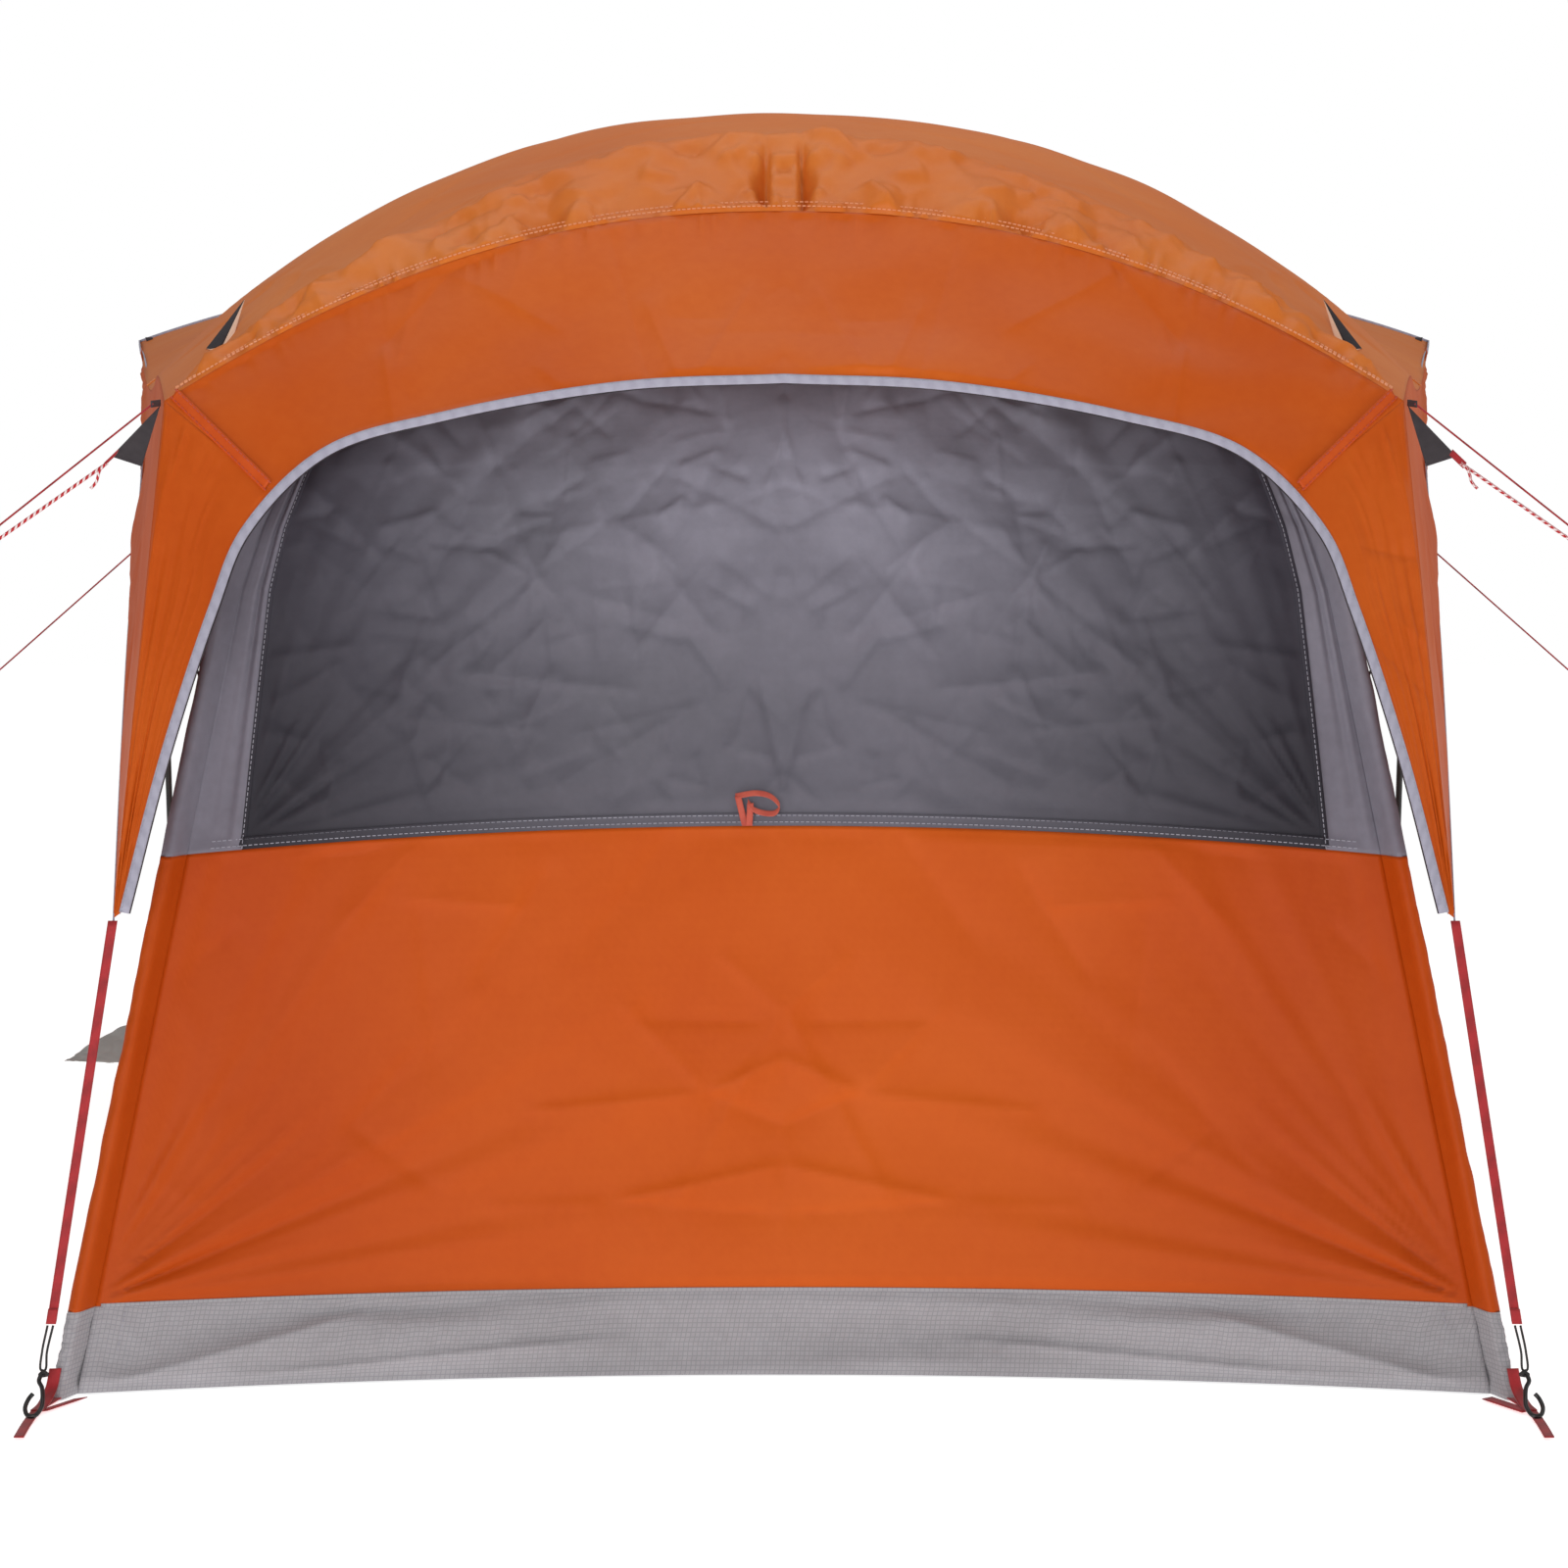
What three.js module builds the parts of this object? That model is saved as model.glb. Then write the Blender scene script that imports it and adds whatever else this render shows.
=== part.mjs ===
// Dome tent with an arched visor at the near end and an awning on two uprights at the far end.
// Millimetres, +X right, +Y from the near end to the far end, +Z up, floor underside at Z = 0.
// Y is measured from the near corners until the finished group is moved to its own centre.
import * as THREE from 'three';
import { mergeVertices } from 'three/addons/utils/BufferGeometryUtils.js';

// Floor plan and pole frame
const nearHalf = 1053;        // half width of the floor at the near end
const farHalf = 1580;         // half width of the floor at the far end
const floorDepth = 3000;
const kneeZ = 1360;           // height where the main poles start to arch over
const kneeLean = 0.23;        // share of the way to the crossing reached at the knee
const kneeRound = 190;        // height over which the knee is rounded
const archPower = 2;
const crownZ = 1950;          // height of the pole crossing
const crossY = floorDepth * nearHalf / (nearHalf + farHalf);
const poleRadius = 6;
const poleGap = 14;           // height step between the two poles where they cross
const sleeveInset = 21;       // sleeve strip inside the pole line
const bodyInset = 34;         // fabric body inside the pole line

// Fabric body
const cloth = 2;              // thickness that stands for each fabric layer
const seamGap = 3;            // clearance between neighbouring panels
const skirtZ = 124;           // top of the grey skirt
const hemZ = 776;             // top of the lower wall at the corners
const hemRise = 36;           // extra height of the window hem at its centre
const wallTopZ = 1640;        // where the walls meet the inner roof
const nearBow = 104;          // how far the near wall is drawn in at its centre
const sideBow = 40;
const windowInset = 0.044;    // share of the near wall beside the window at its hem
const windowTopInset = 0.028;
const cornerInset = 0.02;     // share of each wall kept clear at the corner poles
const doorHalf = 430;
const doorBottomZ = 150;
const doorTopZ = 1500;

// Fly
const browHalf = 930;         // near brow arch, shoulder to centre
const browY = [250, 550];     // its depth at the shoulders and at the centre
const browZ = [1454, 1774];
const ridge = { half: 1166, y: 1300, z: 2030, drop: 474, power: 2.4 };
const eave = { half: 1608, y: 3200, z: 1980, drop: 193, power: 3 };
const awningStart = 0.62;     // share of the fly's length where the awning begins
const legTip = new THREE.Vector3(956, -20, 704);
const bindingWidth = 11;

// Hardware
const strapWidth = 14;
const guyDiameter = 5;
const thinGuyDiameter = 3;

const V = (x, y, z) => new THREE.Vector3(x, y, z);
const mirror = (p, side) => V(p.x * side, p.y, p.z);
const lerp = THREE.MathUtils.lerp;

const colours = {
  orange: [0xc65a20, 0.55], roof: [0xcc6a35, 0.5], grey: [0x8f8d8f, 0.75], pale: [0x74707c, 0.7],
  dark: [0x55525a, 0.7], trim: [0x9a98a8, 0.7], red: [0xa8141f, 0.6], black: [0x141210, 0.4],
  floor: [0x6d6c70, 0.6],
};

const tent = new THREE.Group();

function add(name, geometry, colour) {
  const [color, roughness] = colours[colour];
  const mesh = new THREE.Mesh(geometry, new THREE.MeshStandardMaterial({ color, roughness }));
  mesh.name = name;
  tent.add(mesh);
  return mesh;
}

// A thin closed sheet: a box whose two large faces follow the surface at(u, v), u and v from 0 to 1.
function sheet(at, columns, rows, thickness = cloth) {
  const geometry = new THREE.BoxGeometry(1, 1, 1, columns, rows, 1);
  sameDiagonals(geometry);
  const position = geometry.attributes.position;
  const step = 1e-3;
  for (let i = 0; i < position.count; i += 1) {
    const u = position.getX(i) + 0.5;
    const v = position.getY(i) + 0.5;
    const alongU = at(Math.min(u + step, 1), v).sub(at(Math.max(u - step, 0), v));
    const alongV = at(u, Math.min(v + step, 1)).sub(at(u, Math.max(v - step, 0)));
    const normal = alongU.cross(alongV).normalize();
    const point = at(u, v).addScaledVector(normal, position.getZ(i) * thickness);
    position.setXYZ(i, point.x, point.y, point.z);
  }
  return geometry;
}

// Splits the back face's squares along the same diagonals as the front's, so that bent cloth keeps
// one thickness.
function sameDiagonals(geometry) {
  const { start, count } = geometry.groups[5];
  const index = geometry.index.array;
  for (let i = start; i < start + count; i += 6) {
    const [a, b, d, , c] = index.slice(i, i + 6);
    index.set([a, b, c, a, c, d], i);
  }
}

function circle(radius, sides) {
  const points = Array.from({ length: sides }, (unused, k) => {
    const angle = 2 * Math.PI * k / sides;
    return new THREE.Vector2(radius * Math.cos(angle), radius * Math.sin(angle));
  });
  return new THREE.Shape(points);
}

function extrudeAlong(shape, points, steps) {
  const path = points.length > 2 ? new THREE.CatmullRomCurve3(points) : new THREE.LineCurve3(...points);
  return new THREE.ExtrudeGeometry(shape, { steps, bevelEnabled: false, extrudePath: path });
}

const tube = (points, radius, steps, sides = 8) => extrudeAlong(circle(radius, sides), points, steps);

// Flat webbing of the given width along a list of points, its width laid along across.
function ribbon(points, width, across, steps, thickness = 2) {
  const path = points.length > 2 ? new THREE.CatmullRomCurve3(points) : new THREE.LineCurve3(...points);
  return sheet((u, v) => path.getPoint(u).addScaledVector(across, (v - 0.5) * width), steps, 1, thickness);
}

// Pole frame

// Share of the way from a foot to the crossing at height z, for a pole with a sharp knee.
function sharpReach(z) {
  if (z <= kneeZ) return kneeLean * z / kneeZ;
  const climbed = Math.min((z - kneeZ) / (crownZ - kneeZ), 1);
  return kneeLean + (1 - kneeLean) * (1 - (1 - climbed) ** (1 / archPower));
}

// The same with the knee rounded, as a springy pole bends: the mean over a short span of height.
function reach(z) {
  const half = Math.min(kneeRound, crownZ - z);
  const span = [-1, -0.5, 0, 0.5, 1];
  return span.reduce((sum, k) => sum + sharpReach(z + k * half), 0) / span.length;
}

// Point on a main pole's line at height z; side is -1 or 1 and end is 0 near, 1 far.
function onPole(side, end, z, inset = 0) {
  const foot = V(side * (end ? farHalf : nearHalf), end * floorDepth, 0);
  const plan = V(0, crossY, 0).sub(foot);
  const share = reach(z);
  const inwards = Math.min(share + inset / plan.length(), 1);
  const point = foot.addScaledVector(plan, inwards);
  point.z = z - inset * Math.min(Math.max((z - kneeZ) / (crownZ - kneeZ), 0), 1);
  return point;
}

// Heights along a pole, close together near the crown where it runs level.
function poleHeights(count) {
  return Array.from({ length: count + 1 }, (unused, k) => {
    const share = k / count;
    return crownZ * (1 - (1 - share) ** archPower);
  });
}

function mainPole(side) {
  const lift = side > 0 ? 0 : poleGap;
  const heights = poleHeights(24);
  const near = heights.map((z) => onPole(side, 0, Math.max(z, 8)));
  const far = heights.map((z) => onPole(-side, 1, Math.max(z, 8))).reverse();
  const points = [...near.slice(0, -1), onPole(side, 0, crownZ), ...far.slice(1)];
  points.forEach((p) => { p.z += lift * THREE.MathUtils.smoothstep(p.z, kneeZ, crownZ); });
  return tube(points, poleRadius, 56, 6);
}

add('main_pole_a', mainPole(1), 'black');
add('main_pole_b', mainPole(-1), 'black');

const sides = [['left', -1], ['right', 1]];
const ends = [['near', 0], ['far', 1]];

// Flat pole sleeve behind a corner pole, from the skirt to the inner roof.
function cornerSleeve(side, end) {
  const across = V(side * (end ? farHalf : nearHalf), end * floorDepth - crossY, 0).normalize();
  const sideways = V(-across.y, across.x, 0);
  const width = 26;
  return sheet((u, v) => {
    const p = onPole(side, end, lerp(skirtZ, wallTopZ, v), sleeveInset);
    return p.addScaledVector(sideways, (u - 0.5) * width);
  }, 1, 16, 4);
}

for (const [endName, end] of ends) {
  for (const [sideName, side] of sides) {
    add(`corner_sleeve_${endName}_${sideName}`, cornerSleeve(side, end), 'pale');
  }
}

// Fly

// Near brow arch, s from -1 at the left shoulder to 1 at the right.
function brow(s) {
  return V(s * browHalf, lerp(browY[1], browY[0], s * s),
    browZ[1] - (browZ[1] - browZ[0]) * Math.abs(s) ** 2.2);
}

function arch(part, s) {
  return V(s * part.half, part.y, part.z - part.drop * Math.abs(s) ** part.power);
}

// Fly surface from the brow (v = 0) over the ridge to the eave of the awning (v = 1).
function flyTop(s, v) {
  const start = brow(s);
  const top = arch(ridge, s);
  const end = arch(eave, s);
  const y = lerp(start.y, end.y, v);
  if (y < top.y) {
    const w = (y - start.y) / (top.y - start.y);
    return V(lerp(start.x, top.x, w), y, lerp(start.z, top.z, Math.sin(w * Math.PI / 2)));
  }
  const w = (y - top.y) / (end.y - top.y);
  return V(lerp(top.x, end.x, w), y, lerp(top.z, end.z, 1 - Math.cos(w * Math.PI / 2)));
}

const flyLength = eave.y - browY[1];
const seam = seamGap / flyLength;
add('fly_crown', sheet((u, v) => flyTop(2 * u - 1, lerp(seam, awningStart - seam, v)), 20, 10), 'roof');
add('fly_awning', sheet((u, v) => flyTop(2 * u - 1, lerp(awningStart, 1, v)), 20, 5), 'roof');

// Edge of the arched opening: centre, haunch and leg, on the right half.
const archEdge = new THREE.CatmullRomCurve3([
  V(0, 300, 1495), V(244, 298, 1484), V(511, 270, 1437), V(687, 230, 1381),
  V(800, 175, 1261), V(841, 125, 1144), V(899, 50, 931), V(945, -21, 712),
]);
const shoulder = brow(1);
const visorShare = 0.51;      // share of the arch edge that faces the brow, up to the diagonal seam
const browShare = 0.995;      // share of the brow that the visor hangs from

function visorAt(side, a, v) {
  const outer = brow(a * browShare);
  const inner = archEdge.getPoint(a * visorShare);
  return mirror(outer.lerp(inner, v), side);
}

function visor(u, v) {
  const a = 2 * u - 1;
  return visorAt(Math.sign(a) || 1, Math.abs(a), v);
}

// Leg panel between the shoulder fold (v = 0) and the arch edge (v = 1), a from the seam to the tip.
function leg(side, a, v) {
  const outer = shoulder.clone().lerp(legTip, a);
  const inner = archEdge.getPoint(lerp(visorShare + 0.004, 1, a));
  return mirror(outer.lerp(inner, v), side);
}

const visorStart = 0.012;
add('fly_visor', sheet((u, v) => visor(u, lerp(1, visorStart, v)), 32, 4), 'orange');
for (const [name, side] of sides) {
  const surface = (u, v) => leg(side, lerp(0.004, 1, u), lerp(0.008, 1, side > 0 ? 1 - v : v));
  add(`fly_leg_${name}`, sheet(surface, 14, 3), 'orange');
}

// Grey tape bound over the edge of the arched opening, from one leg tip over the top to the other.
function archBinding(u, v) {
  const a = 2 * u - 1;
  const t = Math.abs(a);
  const point = archEdge.getPoint(t);
  const along = archEdge.getTangent(t);
  const inwards = V(along.z, 0, -along.x).normalize();
  return mirror(point.addScaledVector(inwards, lerp(seamGap, seamGap + bindingWidth, v)),
    Math.sign(a) || 1);
}
add('arch_binding', sheet((u, v) => archBinding(u, 1 - v), 36, 1), 'trim');

// Side wing from the shoulder fold back along the eave to the awning corner.
const wingEdge = new THREE.CatmullRomCurve3([
  V(959, -14, 704), V(1024, 350, 939), V(1089, 700, 1110), V(1164, 1100, 1235),
  V(1258, 1600, 1416), V(1440, 2500, 1655), V(1596, 3150, 1762),
]);
function wing(side, u, v) {
  const top = flyTop(1, lerp(0.002, 0.985, u));
  top.z -= 6;
  return mirror(top.lerp(wingEdge.getPoint(u), v), side);
}
for (const [name, side] of sides) {
  const surface = (u, v) => wing(side, lerp(0.004, 0.99, side > 0 ? u : 1 - u), lerp(1, 0, v));
  add(`fly_wing_${name}`, sheet(surface, 20, 3), 'orange');
}

// Brow pole in the pocket behind and under the brow seam.
const browPoleShare = 0.975;
const browPoleRadius = 4.5;
const pocket = V(0, 22, -16);
const browPolePoints = Array.from({ length: 13 }, (unused, k) => (
  brow(lerp(-browPoleShare, browPoleShare, k / 12)).add(pocket)));
add('brow_pole', tube(browPolePoints, browPoleRadius, 24), 'black');

// Fabric body

// Point on a wall between two corner poles, s from the first pole to the second.
function wallPoint(from, to, s, z, bow, direction) {
  const a = onPole(from[0], from[1], z, bodyInset);
  const b = onPole(to[0], to[1], z, bodyInset);
  const slack = 4 * s * (1 - s) * bow * Math.cos(Math.min(z / wallTopZ, 1) * Math.PI / 2.4);
  return a.lerp(b, s).addScaledVector(direction, slack);
}
const nearWall = (s, z) => wallPoint([-1, 0], [1, 0], s, z, nearBow, V(0, 1, 0));
const farWall = (s, z) => wallPoint([1, 1], [-1, 1], s, z, 0, V(0, -1, 0));
const sideWall = (side) => (s, z) => (side > 0
  ? wallPoint([1, 0], [1, 1], s, z, sideBow, V(-1, 0, 0))
  : wallPoint([-1, 1], [-1, 0], s, z, sideBow, V(1, 0, 0)));

// Panel between two heights, from share s0 to s1 of the wall; rises lift its edges at the middle and
// topShares gives its upper corners where they differ.
function panel(wall, s0, s1, z0, z1, columns, rows, z1Rise = 0, z0Rise = 0, topShares = [s0, s1]) {
  return sheet((u, v) => {
    const s = lerp(lerp(s0, topShares[0], v), lerp(s1, topShares[1], v), u);
    const lift = 4 * s * (1 - s);
    return wall(s, lerp(z0 + z0Rise * lift, z1 + z1Rise * lift, v));
  }, columns, rows);
}

const c0 = cornerInset;
const c1 = 1 - cornerInset;
const skirtFoot = 6;
const walls = { near: nearWall, far: farWall, left: sideWall(-1), right: sideWall(1) };
for (const [name, wall] of Object.entries(walls)) {
  add(`skirt_${name}`, panel(wall, c0, c1, skirtFoot, skirtZ, 10, 1), 'grey');
}
const lowZ = skirtZ + seamGap;
add('near_lower_wall', panel(nearWall, c0, c1, lowZ, hemZ, 12, 4, hemRise), 'orange');
const windowZ = hemZ + seamGap;
const w0 = windowInset;
const w1 = 1 - windowInset;
const top0 = windowTopInset;
const top1 = 1 - windowTopInset;
const nearPanel = (s0, s1, columns, rows, topShares) => (
  panel(nearWall, s0, s1, windowZ, wallTopZ, columns, rows, 0, hemRise, topShares));
add('near_window', nearPanel(w0, w1, 12, 8, [top0, top1]), 'dark');
const strip = 0.003;          // share of the wall left open beside the window
add('near_side_panel_left', nearPanel(c0, w0 - strip, 1, 10, [c0, top0 - strip]), 'pale');
add('near_side_panel_right', nearPanel(w1 + strip, c1, 1, 10, [top1 + strip, c1]), 'pale');
for (const [name, side] of sides) {
  add(`${name}_lower_wall`, panel(sideWall(side), c0, c1, lowZ, hemZ, 8, 3), 'orange');
  add(`${name}_upper_wall`, panel(sideWall(side), c0, c1, windowZ, wallTopZ, 8, 7), 'pale');
}

// Far wall: two flanks, a lintel and a door that swings on its left jamb.
function farStrip(x0, x1, z0, z1, columns, rows) {
  return sheet((u, v) => {
    const z = lerp(z0, z1, v);
    const edge = onPole(1, 1, z, bodyInset);
    const limit = edge.x * (1 - 2 * cornerInset);
    const clip = (x) => THREE.MathUtils.clamp(x, -limit, limit);
    return V(lerp(clip(x1), clip(x0), u), edge.y, edge.z);
  }, columns, rows);
}
const jambGap = 6;
const doorSill = skirtZ + seamGap;
const farReach = farHalf + 100;
add('far_wall_left', farStrip(-farReach, -doorHalf - jambGap, doorSill, doorTopZ, 3, 8), 'orange');
add('far_wall_right', farStrip(doorHalf + jambGap, farReach, doorSill, doorTopZ, 3, 8), 'orange');
add('far_wall_lintel', farStrip(-farReach, farReach, doorTopZ + jambGap, wallTopZ, 8, 2), 'pale');
add('door_panel', farStrip(-doorHalf, doorHalf, doorBottomZ, doorTopZ - jambGap, 6, 8), 'orange');

// Zip slider on the right jamb, a small body with a pull tab.
const sliderZ = 300;
const jamb = onPole(1, 1, sliderZ, bodyInset);
const slider = new THREE.BoxGeometry(9, 6, 16);
slider.translate(doorHalf + jambGap / 2, jamb.y + 8, sliderZ);
add('zip_slider', slider, 'black');

// Inner roof: squares around the crossing laid over the four poles, from the wall tops to the crown.
const roofRing = [[-1, 0], [1, 0], [1, 1], [-1, 1]];
function innerRoof(u, v) {
  const x = 2 * u - 1;
  const y = 2 * v - 1;
  const r = Math.max(Math.abs(x), Math.abs(y), 1e-6);
  const low = (wallTopZ + 8 - kneeZ) / (crownZ - kneeZ);
  const climbed = 1 - (1 - low) * r ** archPower;
  const z = kneeZ + climbed * (crownZ - kneeZ);
  const [nl, nr, fr, fl] = roofRing.map(([side, end]) => onPole(side, end, z, bodyInset));
  const across = (x / r + 1) / 2;
  const along = (y / r + 1) / 2;
  if (Math.abs(y) >= Math.abs(x)) return y < 0 ? nl.lerp(nr, across) : fl.lerp(fr, across);
  return x < 0 ? nl.lerp(fl, along) : nr.lerp(fr, along);
}
add('inner_roof', sheet(innerRoof, 10, 10), 'pale');

// Floor, with its near edge drawn in like the wall above it.
const floorMargin = 20;
add('floor', sheet((u, v) => {
  const half = lerp(nearHalf, farHalf, v) - floorMargin;
  const s = lerp(-1, 1, u);
  const y = lerp(lerp(nearBow, 0, s * s), floorDepth, v);
  return V(s * half, y + (v < 1e-9 ? 2 : 0), cloth / 2);
}, 12, 4), 'floor');

// Awning uprights
const uprightTop = V(1560, 3150, 1740);
const uprightFoot = V(1530, 3172, 4);
const uprightRadius = 8;
for (const [name, side] of sides) {
  const points = [uprightFoot, uprightTop].map((p) => mirror(p, side));
  add(`awning_upright_${name}`, tube(points, uprightRadius, 2, 12), 'black');
}

// Tie-downs at the near corners
const elasticRadius = 1.6;
const hookRadius = 2.6;
const strapTop = V(957, -24, 700);
const strapEnd = V(1051, -34, 122);
const hookTop = V(1062, -38, 46);
function cornerTie(side, name) {
  const strap = [strapTop, strapEnd].map((p) => mirror(p, side));
  add(`tie_strap_${name}`, ribbon(strap, strapWidth, V(1, 0, 0), 4), 'red');
  const loop = [V(1048, -38, 118), V(1057, -40, 80), V(1060, -40, 54), V(1066, -40, 54), V(1064, -40, 80),
    V(1056, -38, 118)];
  add(`tie_elastic_${name}`, tube(loop.map((p) => mirror(p, side)), elasticRadius, 16), 'black');
  const hook = [V(0, 0, 0), V(4, 0, -8), V(2, 0, -18), V(8, 0, -28), V(17, 0, -30), V(20, 0, -22)];
  const points = hook.map((p) => mirror(p.clone().add(hookTop), side));
  add(`tie_hook_${name}`, tube(points, hookRadius, 14), 'black');
  const web = [V(1052, -6, 3), V(1064, -70, 3), V(1062, -135, 3), V(1056, -205, 3)];
  add(`corner_webbing_${name}`, ribbon(web.map((p) => mirror(p, side)), strapWidth, V(1, 0, 0), 6), 'red');
}

// Guy points, guylines and their runners
const guyStart = V(990, 130, 1356);
const guyHeading = V(1, -0.3, -0.75).normalize();
const guyEnd = guyStart.clone().addScaledVector(guyHeading, 330);
const thinStart = V(938, 205, 1447);
const sideGuyStart = V(1172, 1100, 1236);
const sideGuyEnd = V(1500, 1100, 950);
const runnerLength = 26;
const runnerBack = 60;        // runner's start before the guyline's end
const runnerRadius = 7;
const runnerBore = 3.6;

function guyTab(side, name) {
  const top = V(934, 236, 1446);
  const tip = V(984, 138, 1366);
  const low = V(944, 150, 1352);
  const shape = (u, v) => {
    const edge = low.clone().lerp(tip, side > 0 ? u : 1 - u);
    return mirror(top.clone().lerp(edge, lerp(0.08, 1, v)), side);
  };
  add(`guy_tab_${name}`, sheet(shape, 1, 3), 'dark');
}

function runner(name, start, end, back) {
  const heading = end.clone().sub(start).normalize();
  const a = end.clone().addScaledVector(heading, -back);
  const b = a.clone().addScaledVector(heading, runnerLength);
  const shape = circle(runnerRadius, 10);
  shape.holes.push(circle(runnerBore, 8));
  add(name, extrudeAlong(shape, [a, b], 1), 'black');
}

for (const [name, side] of sides) {
  cornerTie(side, name);
  guyTab(side, name);
  const points = [guyStart, guyEnd].map((p) => mirror(p, side));
  add(`guyline_${name}`, tube(points, guyDiameter / 2, 12), 'red');
  const upper = [thinStart, guyEnd.clone().add(V(-6, 4, 14))].map((p) => mirror(p, side));
  add(`shock_line_${name}`, tube(upper, thinGuyDiameter / 2, 12), 'red');
  const sidePoints = [sideGuyStart, sideGuyEnd].map((p) => mirror(p, side));
  add(`side_guyline_${name}`, tube(sidePoints, thinGuyDiameter / 2, 12), 'red');
  runner(`guy_runner_${name}`, ...points, runnerBack);
}

// Elastic and hook that pull the fly's side to the corner sleeve.
for (const [name, side] of sides) {
  const points = [V(880, 214, 1176), V(876, 216, 1120), V(884, 214, 1070), V(876, 214, 1040)];
  add(`sleeve_hook_${name}`, tube(points.map((p) => mirror(p, side)), 2, 14), 'black');
}

// Webbing loop at the centre of the window hem.
const hemCentre = nearWall(0.5, hemZ + hemRise);
const hemLoop = [
  V(-37, 0, -8), V(-38, -3, 14), V(-34, -7, 34), V(-10, -12, 37), V(16, -9, 32), V(25, -8, 24),
];
const loopPath = hemLoop.map((p) => p.add(hemCentre).add(V(0, -7, 0)));
add('hem_loop', ribbon(loopPath, 12, V(0.7, 0, -0.7), 10), 'red');

// Loose corner of the groundsheet at the far left.
add('ground_flap', sheet((u, v) => V(lerp(-1784, -1592, u), lerp(3040, 3190, v) - 30 * u,
  6 + 80 * Math.sin(u * Math.PI * 0.55) * v), 6, 4), 'grey');

// The frame's origin is under the middle of the floor.
tent.position.y = -floorDepth / 2;

tent.traverse((node) => {
  if (!node.isMesh) return;
  node.geometry.deleteAttribute('normal');
  node.geometry.deleteAttribute('uv');
  node.geometry = mergeVertices(node.geometry, 1e-3);
  node.geometry.computeVertexNormals();
});

export default tent;
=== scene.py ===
import math
import bpy
import numpy as np
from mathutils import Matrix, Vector


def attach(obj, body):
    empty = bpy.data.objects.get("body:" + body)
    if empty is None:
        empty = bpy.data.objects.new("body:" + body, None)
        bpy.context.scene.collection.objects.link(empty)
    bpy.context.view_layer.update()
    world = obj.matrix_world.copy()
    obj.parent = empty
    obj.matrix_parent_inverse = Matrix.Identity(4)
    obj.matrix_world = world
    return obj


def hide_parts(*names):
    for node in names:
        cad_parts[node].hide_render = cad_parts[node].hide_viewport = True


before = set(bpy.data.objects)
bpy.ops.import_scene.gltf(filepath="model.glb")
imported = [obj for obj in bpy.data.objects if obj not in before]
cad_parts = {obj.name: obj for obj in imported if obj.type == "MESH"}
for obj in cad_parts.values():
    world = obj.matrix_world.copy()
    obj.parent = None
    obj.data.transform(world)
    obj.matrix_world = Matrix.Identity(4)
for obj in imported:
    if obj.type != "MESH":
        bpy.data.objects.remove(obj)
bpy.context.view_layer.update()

# Driving sizes of the tent in metres, Y counted from the near corners
tentPlan = {
    "nearHalf": 1.053, "farHalf": 1.58, "depth": 3.0, "kneeZ": 1.36, "kneeLean": 0.23,
    "kneeRound": 0.19, "archPower": 2.0, "crownZ": 1.95, "bodyInset": 0.034,
}
body = {
    "footZ": 0.0014, "skirtZ": 0.124, "hemZ": 0.776, "hemRise": 0.036, "wallTopZ": 1.64, "nearBow": 0.104,
    "sideBow": 0.04, "windowInset": 0.044, "windowInsetTop": 0.006,
    "doorHalf": 0.43, "doorBottomZ": 0.15, "doorTopZ": 1.5,
}
fly = {
    "browHalf": 0.93, "browY": (0.25, 0.55), "browZ": (1.454, 1.774), "legTip": (0.956, -0.02, 0.704),
    "ridge": (1.166, 1.3, 2.03, 0.474, 2.4), "eave": (1.608, 3.2, 1.98, 0.193, 3.0),
    "awningStart": 0.62, "visorShare": 0.51,
}
midY = tentPlan["depth"] / 2
crossY = tentPlan["depth"] * tentPlan["nearHalf"] / (tentPlan["nearHalf"] + tentPlan["farHalf"])
sides = (("left", -1), ("right", 1))


# Camera
view = {"distance": 4.2, "height": 1.169, "lens": 67.6, "pitch": 3.75}


def makeCamera():
    data = bpy.data.cameras.new("mainCamera")
    data.lens = view["lens"]
    data.sensor_width = 36.0
    camera = bpy.data.objects.new("mainCamera", data)
    bpy.context.collection.objects.link(camera)
    camera.location = (0.0, -midY - view["distance"], view["height"])
    camera.rotation_euler = (math.radians(90.0 - view["pitch"]), 0.0, 0.0)
    bpy.context.scene.camera = camera


makeCamera()
print("camera set")


# Small numeric helpers
def lerp(a, b, t):
    return a + (b - a) * t


def smooth(x, low=0.0, high=1.0):
    t = np.clip((x - low) / (high - low), 0.0, 1.0)
    return t * t * (3.0 - 2.0 * t)


def points(x, y, z):
    return np.stack(np.broadcast_arrays(x, y, z), axis=-1).astype(float)


def valueNoise(x, y, seed):
    # smooth random heights from -1 to 1 on a unit lattice
    table = np.random.default_rng(seed).uniform(-1.0, 1.0, (256, 256))
    xi, yi = np.floor(x).astype(int), np.floor(y).astype(int)
    fx, fy = smooth(x - xi), smooth(y - yi)
    corner = lambda i, j: table[(xi + i) % 256, (yi + j) % 256]
    low = lerp(corner(0, 0), corner(1, 0), fx)
    high = lerp(corner(0, 1), corner(1, 1), fx)
    return lerp(low, high, fy)


def ridged(x, y, seed):
    return 1.0 - 2.0 * np.abs(valueNoise(x, y, seed))


def crumple(x, y, size, seed, octaves=3):
    # sharp little ridges between flats, as in packed cloth
    total = np.zeros_like(x)
    for k in range(octaves):
        angle = 0.7 + 1.9 * k
        a = (x * math.cos(angle) - y * math.sin(angle)) * 2.0 ** k / size
        b = (x * math.sin(angle) + y * math.cos(angle)) * 2.0 ** k / size
        total = total + ridged(a + 31.0 * k, b + 17.0, seed + k) * 0.55 ** k
    return total


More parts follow.
